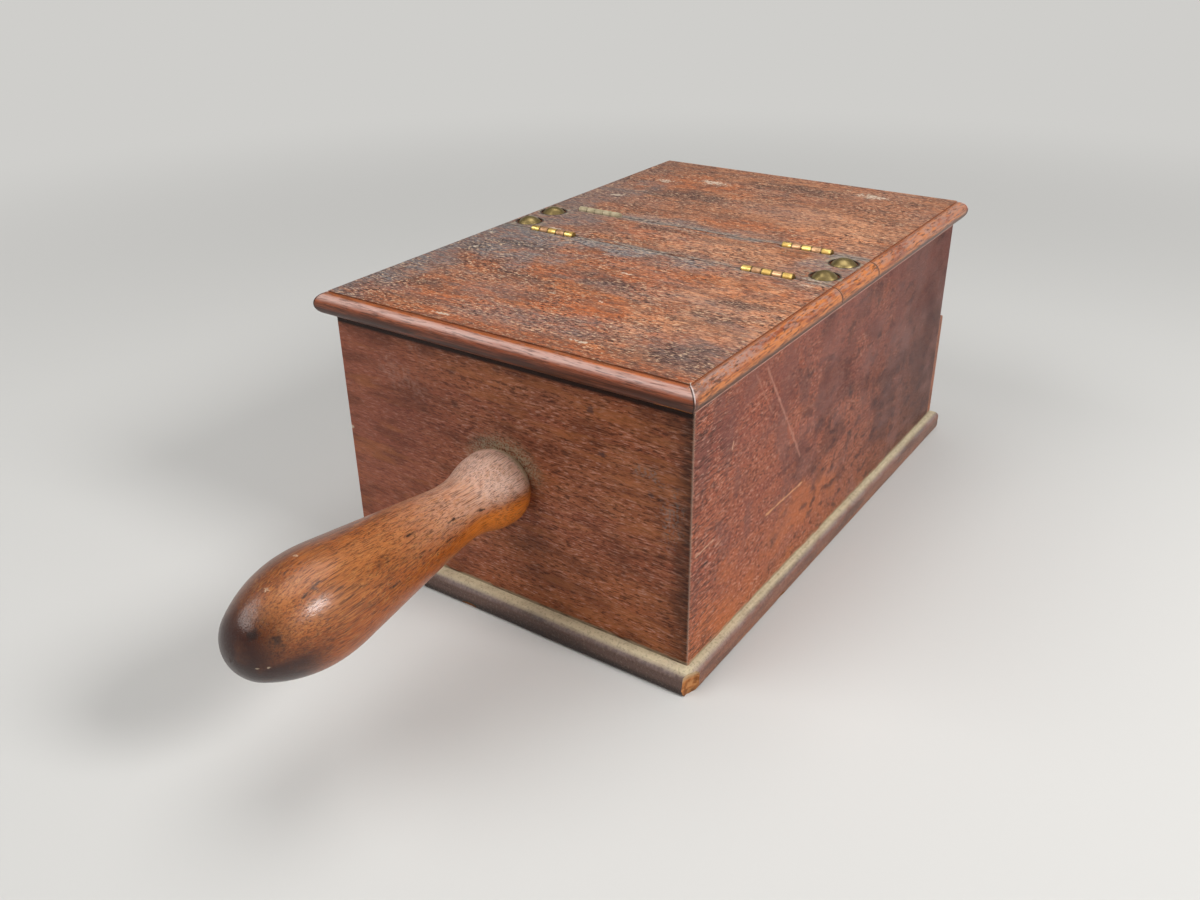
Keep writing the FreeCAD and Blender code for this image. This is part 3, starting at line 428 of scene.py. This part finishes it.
def onFront(marks, depth=wallLook["markDepth"]):
    return [((x, frontFace, z), (along, depth, up)) for x, z, along, up in marks]


def onRight(marks, depth=wallLook["markDepth"]):
    return [((sideFace, y, z), (depth, along, up)) for y, z, along, up in marks]


def linesOnRight(lines):
    return [((sideFace, y, z), (sideFace, endY, endZ)) for y, z, endY, endZ in lines]


def frontMarks(tree, place):
    wear, grime = frontWear, wallLook["grime"]
    halo = around(tree, place, wear["root"], *wear["rootReach"])
    foot = wallLook["foot"]
    return [
        (wear["rosy"], 0.55, zone(tree, place, "X", *wear["rosyFrom"])),
        (wallLook["streak"], 0.45, pattern(tree, place, wear["streakCell"], 0.46, 0.64, detail=4.0)),
        (wear["goldStreak"], 0.45, pattern(tree, place, wear["goldCell"], 0.52, 0.66, detail=4.0)),
        (grime, 0.4, zone(tree, place, "X", *wear["grimyFrom"]),
         pattern(tree, place, wear["grimeCell"], 0.36, 0.62)),
        (wear["haze"], 0.5, spots(tree, place, onFront(wear["hazeSpots"]), 0.5, 6.0),
         pattern(tree, place, wear["hazeCell"], 0.46, 0.60)),
        (grime, 0.75, zone(tree, place, "X", *wear["edgeFrom"]),
         pattern(tree, place, wear["edgeCell"], 0.34, 0.56, least=0.45)),
        # painted shade: a dark band on the front face just under the lid's edge stands in for the shadow of
        # its overhang, in the grime colour
        (grime, 0.95, zone(tree, place, "Z", *wear["underLid"]), zone(tree, place, "Y", *wear["face"])),
        # painted shade: a dark line along the foot of the front face, where it meets the base
        (wear["footShade"], 0.85, zone(tree, place, "Z", foot + 1.4, foot + 0.6)),
        (wear["ink"], 0.6, spots(tree, place, onFront(wear["inkSpots"]), 0.5, 3.0)),
        (wear["brown"], 0.5, spots(tree, place, onFront(wear["brownSpots"]), 0.5)),
        (wallLook["scuff"], 0.22, spots(tree, place, onFront(wear["scuffSpots"]), 0.5, 14.0),
         pattern(tree, place, wear["scuffCell"], 0.40, 0.62)),
        (wear["rootDust"], 0.85, halo, zone(tree, place, "Z", *wear["rootDustFrom"]),
         pattern(tree, place, wear["rootCell"], 0.30, 0.70)),
        (wear["nick"], 0.9, spots(tree, place, onFront(wear["nickSpot"], depth=3), 0.3)),
    ]


def rightMarks(tree, place):
    wear = rightWear
    nearEnd = zone(tree, place, "Y", *wear["nearFrom"])
    beyond = zone(tree, place, "Y", *wear["beyondFrom"])
    return [
        (wear["warm"], 0.5, spots(tree, place, onRight(wear["warmSpots"], depth=40), 0.5, 14.0)),
        (wallLook["bloom"], 0.55, pattern(tree, place, wear["bloomCell"], 0.46, 0.64, detail=4.0),
         zone(tree, place, "Z", *wear["bloomFrom"])),
        # painted shade: the side darkens towards its far end, standing in for the lamp's light falling off
        (wear["farShade"], 0.6, zone(tree, place, "Y", *wear["fartherFrom"])),
        (wear["endShade"], 0.6, zone(tree, place, "Y", *wear["endFrom"])),
        (wallLook["deepRed"], 0.55, pattern(tree, place, wear["redCell"], 0.46, 0.64, detail=3.0), beyond),
        (wallLook["deepRed"], 0.75, pattern(tree, place, wear["smallRedCell"], 0.52, 0.66, detail=4.0),
         beyond),
        (wear["paleBloom"], 0.45, pattern(tree, place, wear["paleCell"], 0.46, 0.70, detail=5.0), beyond),
        (wear["upperRed"], 0.55, zone(tree, place, "Z", *wear["upperFrom"]),
         pattern(tree, place, wear["upperCell"], 0.36, 0.6)),
        (wallLook["darkGrit"], 0.65, nearEnd, pattern(tree, place, wear["endDarkCell"], 0.50, 0.60)),
        (wallLook["scuff"], 0.5, nearEnd, pattern(tree, place, wear["endPaleCell"], 0.60, 0.68)),
        (wear["scratch"], 0.5, scratches(tree, place, linesOnRight(wear["longScratch"]), 2.0)),
        (wear["scratch"], 0.3, scratches(tree, place, linesOnRight(wear["faintScratch"]), 1.4)),
        (wallLook["raw"], 0.9, scratches(tree, place, linesOnRight(wear["rawScratch"]), 1.6)),
        (wear["nick"], 0.75, scratches(tree, place, linesOnRight(wear["nicks"]), 1.1)),
        (wallLook["grime"], 0.45, spots(tree, place, onRight(wear["darkSpots"]), 0.6, 4.0)),
        (wallLook["scuff"], 0.6, zone(tree, place, "Z", *wear["underLid"])),
    ]


plainWear = {"streakCell": (26, 26, 7), "redCell": (7, 7, 5), "redPatch": (40, 40, 30),
             "bloomCell": (24, 24, 20)}


def plainMarks(tree, place):
    wear = plainWear
    return [
        (wallLook["streak"], 0.45, pattern(tree, place, wear["streakCell"], 0.46, 0.64, detail=4.0)),
        (wallLook["deepRed"], 0.4, pattern(tree, place, wear["redCell"], 0.54, 0.68, detail=4.0),
         pattern(tree, place, wear["redPatch"], 0.42, 0.6)),
        (wallLook["bloom"], 0.4, pattern(tree, place, wear["bloomCell"], 0.46, 0.64, detail=4.0)),
    ]


frontTone = {"mid": "#9f5c42", "ribbon": "#b06c48", "dark": "#633326", "fibre": "#c08660",
             "poreShare": 0.4, "poreCell": (3.6, 0.4, 0.4), "gritCell": (3.4, 0.7, 0.7)}
leftTone = {"gritCell": (3.4, 0.7, 0.7)}
frontInside = pieceBox("front_board")[1][1]
sideInside = pieceBox("right_side_board")[0][0]
# Grain, where the board was cut from the plank, its tone and marks, and where its bare inside starts
wallPieces = {
    "front_board": ("x", (0, 0, 12), frontTone, frontMarks, ("Y", frontInside - 0.4, frontInside + 0.1)),
    "right_side_board": ("y", (50, 0, -20), {}, rightMarks, ("X", sideInside + 0.4, sideInside - 0.1)),
    "left_side_board": ("y", (-240, 0, 70), leftTone, plainMarks,
                        ("X", -sideInside - 0.4, -sideInside + 0.1)),
    "back_board": ("x", (300, 0, -90), frontTone, plainMarks, ("Y", -frontInside + 0.4, -frontInside - 0.1)),
    "drawer_front": ("x", (-70, 0, 140), frontTone, plainMarks, None),
}


def wallMaterial(name, grainAlong, cutFrom, tone, marks, inside):
    material, tree = newMaterial(f"satin polished mahogany {name}")
    look = {**wallLook, **tone, "grainAlong": grainAlong, "cutFrom": cutFrom}
    place, grain, colour, pores = woodGrain(tree, look)
    bloom = shareOf(tree, 0.3, pattern(tree, place, look["bloomCell"], 0.42, 0.66),
                    zone(tree, place, "Z", 25, 105))
    layers = [
        (look["warmFoot"], 0.35, zone(tree, place, "Z", 60, 15)), (look["bloom"], 1.0, bloom),
        *specks(tree, grain, look["gritCell"], (look["darkGrit"], look["gritShare"]),
                (look["paleGrit"], 0.8 * look["gritShare"])),
        *marks(tree, place),
        (look["arris"], 0.6, wornEdges(tree, 1.0)),
        (look["dust"], 0.9, zone(tree, place, "Z", look["foot"] + 2.0, look["foot"] + 0.5),
         pattern(tree, place, look["footDustCell"], 0.3, 0.55)),
    ]
    if inside:
        layers.append((look["bare"], 0.75, zone(tree, place, *inside)))
    colour = paintOver(tree, colour, layers)
    roughness = addNode(tree, "ShaderNodeMapRange", {"Value": bloom, "To Min": 0.36, "To Max": 0.8})
    finishWood(tree, colour, roughness, pores, 0.08, sheen=0.18)
    return material


for name, settings in wallPieces.items():
    dress(wallMaterial(name, *settings), name)
print("walls dressed")

# Base: settled tan dust on the ledge, grimy end grain at the front edge, with painted shade on its lower
# part
baseLook = dict(
    mahogany, grainAlong="y", cutFrom=(10, 25, 0), dust="#d0c1a1", dustShade="#a7977b", grime="#241a17",
    endGrain="#69524a", side="#7a4f42", foot="#96592f", greyBloom="#988884", dustCell=(12, 12, 6),
    bloomCell=(9, 9, 6), grimeCell=(46, 46, 6), dustShadeCell=(3.5, 3.5, 3.5), gritCell=(1.1, 1.1, 1.1))


def baseMaterial():
    material, tree = newMaterial("mahogany under settled dust")
    look = baseLook
    place, grain, colour, pores = woodGrain(tree, look)
    facing = addNode(tree, "ShaderNodeTexCoord", out="Normal")
    mirrored = addNode(tree, "ShaderNodeVectorMath", {0: place}, operation="ABSOLUTE")
    ledge = either(tree, zone(tree, mirrored, "X", sideFace - 4, sideFace - 1),        # outside the walls
                   zone(tree, mirrored, "Y", -frontFace - 4, -frontFace - 1))
    dust = shareOf(tree, zone(tree, facing, "Z", 0.5, 0.95), ledge,
                   pattern(tree, place, look["dustCell"], 0.28, 0.5, least=0.8))
    atFront = zone(tree, facing, "Y", -0.3, -0.75)
    colour = paintOver(tree, colour, [
        (look["side"], 0.75), (look["foot"], 0.6, zone(tree, place, "Z", 5.0, 2.0)),
        (look["endGrain"], 0.9, atFront),
        (look["greyBloom"], 0.7, ledge, zone(tree, facing, "Z", 0.0, 0.6),
         pattern(tree, place, look["bloomCell"], 0.3, 0.62, least=0.4)),
        # grime and painted shade: the front edge darkens towards the floor, where its rounding turns down
        (look["grime"], 0.8, atFront, zone(tree, place, "Z", 5.0, 1.8)),
        (look["grime"], 0.45, pattern(tree, place, look["grimeCell"], 0.46, 0.64)),
        (look["dust"], 1.0, dust),
        (look["dustShade"], 0.35, dust, pattern(tree, place, look["dustShadeCell"], 0.45, 0.7)),
        *specks(tree, place, look["gritCell"], (look["grime"], 0.25), (look["dust"], 0.12)),
    ])
    roughness = addNode(tree, "ShaderNodeMapRange", {"Value": dust, "To Min": 0.34, "To Max": 0.95})
    finishWood(tree, colour, roughness, pores, 0.08)
    return material


dress(baseMaterial(), "base_board")

# Old break: splintered fibre, quite dull, with dust and grime settled towards its edges
breakLook = {
    "raw": "#b5723f", "splinter": "#cf9c6a", "shade": "#7d4a2c", "dust": "#cdb995", "grime": "#4a3226",
    "splinterCell": (1.2, 5, 1.2), "shadeCell": (3, 3, 3), "unevenCell": (2.2, 2.2, 2.2)}


def rawWood(name, low, high):        # grimy below the low level and dusty above the high one
    material, tree = newMaterial(name)
    look = breakLook
    place = surfacePoint(tree)
    splinters = pattern(tree, place, look["splinterCell"], 0.35, 0.65, detail=3.0)
    uneven = pattern(tree, place, look["unevenCell"], 0.3, 0.6, least=0.5)
    colour = paintOver(tree, hexColour(look["raw"]), [
        (look["splinter"], 0.4, splinters),
        (look["shade"], 0.6, pattern(tree, place, look["shadeCell"], 0.48, 0.65)),
        (look["grime"], 0.7, uneven, zone(tree, place, "Z", low + 2.0, low - 0.5)),
        (look["dust"], 0.95, uneven, zone(tree, place, "Z", high - 2.5, high + 1.5)),
    ])
    roughness = addNode(tree, "ShaderNodeMapRange", {"Value": splinters, "To Min": 0.7, "To Max": 0.9})
    finishWood(tree, colour, roughness, splinters, 0.3, sheen=0.2)
    return material


# Pieces broken off by knocks: middle, reach and a seed for the broken face, in millimetres
chips = {
    "base_board": {
        "piece": "chipped_base_board", "body": "carcase", "slot": "mahogany_base", "levels": (1, 8),
        "knocks": [((95.8, -142.8, 5.0), (5.0, 9.6, 8.6), 3), ((94.3, -60.0, 1.0), (1.2, 4.0, 1.6), 5),
                   ((-20.0, -143.4, 0.5), (5.0, 1.2, 1.6), 8)]},
    "near_lid": {
        "piece": "chipped_near_lid", "body": "near_lid_leaf", "slot": "mahogany_lid", "levels": (124, 130),
        "knocks": [((85.0, -143.4, 125.6), (9.5, 1.7, 1.2), 4)]},
}
weldGap = 0.000002        # in metres; the solids come as loose triangles
chipRagged = 0.00007        # in metres, for each millimetre of a knock's least reach
smoothAngle = math.radians(32)        # edges flatter than this are shaded smooth
for node, chip in chips.items():
    rawBreak = rawWood(f"broken mahogany {node}", *chip["levels"])
    bpy.ops.object.select_all(action="DESELECT")
    board = bpy.data.objects.new(chip["piece"], cadNodes[node].data.copy())
    scene.collection.objects.link(board)
    board.data.materials.append(rawBreak)
    bpy.context.view_layer.objects.active = board
    board.select_set(True)
    bpy.ops.object.mode_set(mode="EDIT")
    bpy.ops.mesh.select_all(action="SELECT")
    bpy.ops.mesh.remove_doubles(threshold=weldGap)
    bpy.ops.mesh.customdata_custom_splitnormals_clear()
    bpy.ops.object.mode_set(mode="OBJECT")
    for middle, reach, seed in chip["knocks"]:
        bpy.ops.object.select_all(action="DESELECT")
        bpy.ops.mesh.primitive_ico_sphere_add(subdivisions=3, radius=1.0,
                                              location=[c / 1000 for c in middle])
        knock = bpy.context.object
        bpy.ops.object.mode_set(mode="EDIT")
        bpy.ops.mesh.select_all(action="SELECT")
        bpy.ops.transform.resize(value=[c / 1000 for c in reach])
        bpy.ops.transform.vertex_random(offset=chipRagged * min(reach), uniform=1.0, seed=seed)
        bpy.ops.object.mode_set(mode="OBJECT")
        knock.data.materials.append(rawBreak)
        bpy.ops.object.select_all(action="DESELECT")
        bpy.context.view_layer.objects.active = board
        board.select_set(True)
        bite = board.modifiers.new("bite", "BOOLEAN")
        bite.operation = "DIFFERENCE"
        bite.solver = "EXACT"
        bite.material_mode = "TRANSFER"
        bite.object = knock
        bpy.ops.object.modifier_apply(modifier="bite")
        bpy.data.objects.remove(knock)
    bpy.ops.object.shade_smooth_by_angle(angle=smoothAngle)
    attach(board, chip["body"])
    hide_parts(node)
print("chipped pieces cut:", len(chips))

# Handle: polished by hands, orange where it is rubbed, dusty at the root and dark at the end; painted light
# makes its underside bright orange, a painted sheen lightens its upper right and painted shade darkens its
# left side towards the end
handleLook = dict(
    mahogany, grainAlong="y", cutFrom=(0, 8, 0), mid="#914b20", ribbon="#a65c29", dark="#5c2e16",
    fibre="#b8763c", pore="#2a150c", waveDepth=2.0, ribbonCell=(90, 9, 9), darkCell=(34, 1.6, 1.6),
    fibreCell=(14, 0.7, 0.7), poreCell=(8, 0.36, 0.36), poreShare=0.35, boldCell=(8, 0.5, 0.5),
    pitCell=(2.4, 0.8, 0.8), dustCell=(1.6, 3, 1.6), wornCell=(26, 9, 9), collarCell=(4, 3, 4),
    tipCell=(9, 9, 9), dust="#d8b39f", rootDust="#c9bb9d", tip="#33130a", stain="#1d1615", belly="#a9530c",
    worn="#b1703f", shaded="#5f3119", collar="#e4bfae", rootOrange="#d77a2a", fleck="#d9c2a4",
    darkGrit="#2e170d", paleGrit="#d59c5c")
# Where each tone starts and is full along y; spots: middle and reach; dashes: their two ends
handleWear = {
    "dustFrom": (-222, -146), "tipFrom": (-258, -276), "lowTipFrom": (-246, -264),
    "orangeFrom": (-192, -160), "shadedFrom": (-190, -226), "collarFrom": (-170, -150),
    "rootFrom": (-143, -138),
    "stains": [((13, -268, 75.1), (3, 2.6, 3)), ((7, -272.4, 77.9), (2.6, 2.6, 2.6))],
    "greySpots": [((15, -222, 80), (2.4, 4, 2)), ((12, -251, 85), (2.4, 4, 2))],
    "dashes": [((11.7, -184.5, 76), (11.7, -180.5, 76)), ((12.1, -168, 73), (12.1, -164, 72)),
               ((14.4, -189, 71), (14.4, -185, 71)), ((11.2, -207, 81), (11.2, -202, 81)),
               ((18.8, -224, 71.5), (18.8, -218, 71.5)), ((12.2, -255, 84), (11.5, -247, 85.5))],
    "flecks": [((-2, -244.4, 89.3), (0.9, 0.9, 0.9)), ((1.6, -260.5, 86.3), (1, 1, 1)),
               ((9.2, -275, 66.7), (0.9, 0.9, 0.5)), ((11.9, -272.4, 66.6), (0.9, 0.9, 0.5))],
}


def handleMaterial():
    material, tree = newMaterial("hand-polished mahogany")
    look, wear = handleLook, handleWear
    place, grain, colour, pores = woodGrain(tree, look)
    facing = addNode(tree, "ShaderNodeTexCoord", out="Normal")
    dust = shareOf(tree, 0.65, zone(tree, place, "Y", *wear["dustFrom"]), zone(tree, facing, "Z", 0.0, 0.6),
                   pattern(tree, place, look["dustCell"], 0.32, 0.6, least=0.6))
    tip = either(tree, zone(tree, place, "Y", *wear["tipFrom"]),
                 shareOf(tree, zone(tree, place, "Y", *wear["lowTipFrom"]),
                         zone(tree, facing, "Z", 0.3, -0.2)))
    colour = paintOver(tree, colour, [
        # painted light: the underside is painted bright orange as if lit by a low lamp
        (look["belly"], 0.9, zone(tree, facing, "Z", 0.3, -0.4)),
        # wear and painted sheen: a lighter band on the upper right side, where the lamp's glow falls
        (look["worn"], 0.55, zone(tree, facing, "X", -0.1, 0.4), zone(tree, facing, "Z", 0.1, 0.6),
         pattern(tree, grain, look["wornCell"], 0.32, 0.58, least=0.4)),
        # painted light: bright orange on the underside near the collar, as if lit
        (look["rootOrange"], 0.8, zone(tree, place, "Y", *wear["orangeFrom"]),
         zone(tree, facing, "Z", 0.3, -0.2)),
        (look["shaded"], 0.7, zone(tree, facing, "X", 0.15, -0.4),
         zone(tree, place, "Y", *wear["shadedFrom"])),
        (look["dust"], 1.0, dust),
        (look["collar"], 0.65, zone(tree, place, "Y", *wear["collarFrom"]),
         zone(tree, facing, "Z", 0.0, 0.5), pattern(tree, place, look["collarCell"], 0.3, 0.6, least=0.3)),
        *specks(tree, grain, look["boldCell"], (look["darkGrit"], 0.5), (look["paleGrit"], 0.3)),
        (look["pore"], 0.35, pores),
        (look["pore"], 0.7, pattern(tree, grain, look["boldCell"], 0.66, 0.71, detail=2.0)),
        (look["tip"], 1.0, tip, pattern(tree, place, look["tipCell"], 0.28, 0.5, least=0.85)),
        (look["stain"], 0.75, spots(tree, place, wear["stains"], 0.35, 2.5)),
        (look["stain"], 0.35, spots(tree, place, wear["greySpots"], 0.6, 2.5)),
        (look["stain"], 0.9, scratches(tree, place, wear["dashes"], 1.2)),
        (look["fleck"], 0.55, spots(tree, place, wear["flecks"], 0.6, 0.8)),
        (look["rootDust"], 0.9, zone(tree, place, "Y", *wear["rootFrom"]),
         zone(tree, facing, "Z", 0.1, 0.6)),
    ])
    roughness = addNode(tree, "ShaderNodeMapRange", {"Value": dust, "To Min": 0.4, "To Max": 0.7})
    polish = addNode(tree, "ShaderNodeMapRange",        # none left under the dust
                     {"Value": dust, "From Max": 0.4, "To Min": 0.5, "To Max": 0.0})
    pits = either(tree, pores, shareOf(tree, 0.35, pattern(tree, grain, look["pitCell"], 0.42, 0.66)))
    finishWood(tree, colour, roughness, pits, 0.05, sheen=0.32, polish=polish)
    return material


dress(handleMaterial(), "handle", "handle_wedge")
print("base and handle dressed")

# Inside: unpolished mahogany, paler and dull
innerLook = dict(mahogany, mid="#93614a", ribbon="#a5724f", dark="#7c5240", fibre="#b68663", pore="#5a3a2a",
                 grime="#65493c", grimeCell=(40, 40, 40), arris="#c49a7c", cutFrom=(15, 60, 30))
innerPieces = {
    "x": ("partition_board", "shelf_board", "drawer_back", "drawer_bottom"),
    "y": ("left_drawer_guide", "right_drawer_guide", "drawer_left_side", "drawer_right_side"),
}
for grainAlong, names in innerPieces.items():
    material, tree = newMaterial(f"bare mahogany along {grainAlong}")
    look = dict(innerLook, grainAlong=grainAlong)
    place, grain, colour, pores = woodGrain(tree, look)
    grime = pattern(tree, place, look["grimeCell"], 0.42, 0.7)
    colour = paintOver(tree, colour, [
        (look["grime"], 0.45, grime), (look["arris"], 0.35, wornEdges(tree, 1.0))])
    roughness = addNode(tree, "ShaderNodeMapRange", {"Value": grime, "To Min": 0.62, "To Max": 0.82})
    finishWood(tree, colour, roughness, pores, 0.08, sheen=0.3)
    dress(material, *names)

# Brass and steel fittings: tarnish in broken patches, brighter on the edges
metalLooks = {
    "rubbed brass": {        # gold where the lids and hands rub it, dark grime between the knuckles
        "colour": "#f3d07c", "bright": "#fdeab2", "tarnish": "#a98243", "tarnishShare": 0.45,
        "tarnishCell": (6, 3, 3), "polish": 0.34, "dull": 0.55, "bare": 1.0, "seamShare": 0.5},
    "reddened brass": {        # the knuckles between, coppery with old lacquer
        "colour": "#dcae84", "bright": "#f0cfa4", "tarnish": "#8e6a4c", "tarnishShare": 0.5,
        "tarnishCell": (5, 3, 3), "polish": 0.4, "dull": 0.6, "bare": 1.0, "seamShare": 0.5},
    "dusty brass": {        # the hinge at the far left, under a skin of pale dust
        "colour": "#b9ab8c", "bright": "#cdbf9c", "tarnish": "#94886a", "tarnishShare": 0.5,
        "tarnishCell": (4, 3, 3), "polish": 0.6, "dull": 0.8, "bare": 0.3, "seamShare": 0.12},
    "dull brass": {        # nail heads gone olive brown, with some gold left on the domes
        "colour": "#9c8859", "bright": "#d0bd8e", "tarnish": "#584a30", "tarnishShare": 0.6,
        "tarnishCell": (5, 5, 5), "polish": 0.38, "dull": 0.6, "bare": 0.9, "seamShare": 0.0},
    "darkened steel": {        # screws under the base
        "colour": "#77736e", "bright": "#a8a39c", "tarnish": "#4a3f36", "tarnishShare": 0.8,
        "tarnishCell": (2, 2, 2), "polish": 0.45, "dull": 0.7, "bare": 1.0, "seamShare": 0.0},
}
metalDents = {"cell": (2, 2, 2), "depth": 0.03}        # in millimetres
hingeLow, hingeHigh = pieceBox("near_right_hinge_lid_leaf")
knuckles = {        # each hinge has five, over its whole length across the box
    "firstSeam": hingeLow[0], "pitch": (hingeHigh[0] - hingeLow[0]) / 5, "seam": "#2a2014",
    "seamReach": (0.7, 0.25), "above": (130, 134)}
farLeftHinge = [name for name in cadNodes if name.startswith("far_left_hinge")]
hingeParts = [name for name in cadNodes if "hinge" in name and name not in farLeftHinge]
metalPieces = {
    "rubbed brass": [name for name in hingeParts if not name.endswith("strip_leaf")] + ["drawer_knob"],
    "reddened brass": [name for name in hingeParts if name.endswith("strip_leaf")],
    "dusty brass": farLeftHinge,
    "dull brass": ["strip_studs"],
    "darkened steel": ["base_screws"],
}
for name, look in metalLooks.items():
    material, tree = newMaterial(name)
    place = surfacePoint(tree)
    tarnish = pattern(tree, place, look["tarnishCell"], 0.42, 0.6, detail=3.0)
    layers = [(look["tarnish"], look["tarnishShare"], tarnish), (look["bright"], 0.5, wornEdges(tree, 0.4))]
    if look["seamShare"]:
        across = addNode(tree, "ShaderNodeSeparateXYZ", {0: place}, "X")
        across = addNode(tree, "ShaderNodeMath", {0: across}, operation="ABSOLUTE")
        across = addNode(tree, "ShaderNodeMath", {0: across, 1: knuckles["firstSeam"]}, operation="SUBTRACT")
        gap = addNode(tree, "ShaderNodeMath", {0: across, 1: knuckles["pitch"] / 2}, operation="PINGPONG")
        outer, inner = knuckles["seamReach"]
        seam = addNode(tree, "ShaderNodeMapRange", {"Value": gap, "From Min": outer, "From Max": inner})
        layers.append((knuckles["seam"], look["seamShare"], seam,
                       zone(tree, place, "Z", *knuckles["above"])))
    colour = paintOver(tree, hexColour(look["colour"]), layers)
    roughness = addNode(tree, "ShaderNodeMapRange",
                        {"Value": tarnish, "To Min": look["polish"], "To Max": look["dull"]})
    dents = addNode(tree, "ShaderNodeBump", {"Height": pattern(tree, place, metalDents["cell"], 0.3, 0.7),
                                             "Distance": metalDents["depth"] / 1000})
    metal = addNode(tree, "ShaderNodeBsdfPrincipled", {
        "Base Color": colour, "Metallic": look["bare"], "Roughness": roughness, "Normal": dents})
    addNode(tree, "ShaderNodeOutputMaterial", {"Surface": metal})
    dress(material, *metalPieces[name])
print("inside and fittings dressed")

# Plain pale floor, soft lamps and the photograph's camera
stageLook = {"floor": "#cfcecb", "floorSize": 14.0, "litReach": (0.3, 1.1), "fillLight": 0.13,
             "backdropTop": (0.5, 0.1), "aim": (0, -0.04, 0.06)}
lamps = {        # place, width and height, watts
    "rightLamp": ((1.05, -0.08, 0.84), (0.4, 0.4), 12.0),
    "frontLamp": ((-0.55, -0.85, 1.08), (1.3, 0.6), 9.5),
    "topLamp": ((0.0, 0.25, 1.7), (1.4, 1.4), 12.5),
}
cameraLook = {"place": (0.25963, -0.43920, 0.29111), "towards": (-0.50596, 0.72558, -0.46642), "roll": -0.85,
              "lens": 32.735, "sensor": 36.0}


def shownRays(tree):        # 1 where the background is seen, itself or in a reflection
    return either(tree, *[addNode(tree, "ShaderNodeLightPath", out=f"Is {ray} Ray")
                          for ray in ("Camera", "Glossy", "Transmission")])


bpy.ops.object.select_all(action="DESELECT")
bpy.ops.mesh.primitive_plane_add(size=stageLook["floorSize"], location=(0, 0, 0))
floor = bpy.context.object
floor.name = "floor"
material, tree = newMaterial("matt paper")
place = addNode(tree, "ShaderNodeTexCoord", out="Object")
reach = addNode(tree, "ShaderNodeVectorMath", {0: place}, "Value", operation="LENGTH")
start, full = stageLook["litReach"]        # the lamps light the paper near the box, further off it is even
farOff = addNode(tree, "ShaderNodeMapRange", {"Value": reach, "From Min": start, "From Max": full},
                 interpolation_type="SMOOTHSTEP")
paper = addNode(tree, "ShaderNodeBsdfDiffuse", {"Color": hexColour(stageLook["floor"])})
even = addNode(tree, "ShaderNodeEmission", {"Color": hexColour(stageLook["floor"]), "Strength": 1.0})
shown = shareOf(tree, farOff, shownRays(tree))
surface = addNode(tree, "ShaderNodeMixShader", {0: shown, 1: paper, 2: even})
addNode(tree, "ShaderNodeOutputMaterial", {"Surface": surface})
floor.data.materials.append(material)

world = bpy.data.worlds.new("studio")
scene.world = world
world.use_nodes = True
tree = world.node_tree
tree.nodes.clear()
direction = addNode(tree, "ShaderNodeTexCoord", out="Generated")
low = zone(tree, direction, "Z", *stageLook["backdropTop"])        # pale at the floor, darker further up
strength = addNode(tree, "ShaderNodeMapRange",
                   {"Value": shareOf(tree, low, shownRays(tree)), "To Min": stageLook["fillLight"]})
backdrop = addNode(tree, "ShaderNodeBackground",
                   {"Color": hexColour(stageLook["floor"]), "Strength": strength})
addNode(tree, "ShaderNodeOutputWorld", {"Surface": backdrop})

for name, (place, size, watts) in lamps.items():
    bpy.ops.object.light_add(type="AREA", location=place)
    lamp = bpy.context.object
    lamp.name = name
    lamp.data.shape = "ELLIPSE"
    lamp.data.size, lamp.data.size_y = size
    lamp.data.energy = watts
    lamp.rotation_euler = (Vector(stageLook["aim"]) - Vector(place)).to_track_quat("-Z", "Y").to_euler()

bpy.ops.object.camera_add(location=cameraLook["place"])
camera = bpy.context.object
camera.name = "camera"
camera.data.lens = cameraLook["lens"]
camera.data.sensor_width = cameraLook["sensor"]
camera.rotation_euler = Vector(cameraLook["towards"]).to_track_quat("-Z", "Y").to_euler()
camera.rotation_euler.rotate_axis("Z", math.radians(cameraLook["roll"]))
scene.camera = camera
scene.view_settings.view_transform = "Standard"
print("stage set")
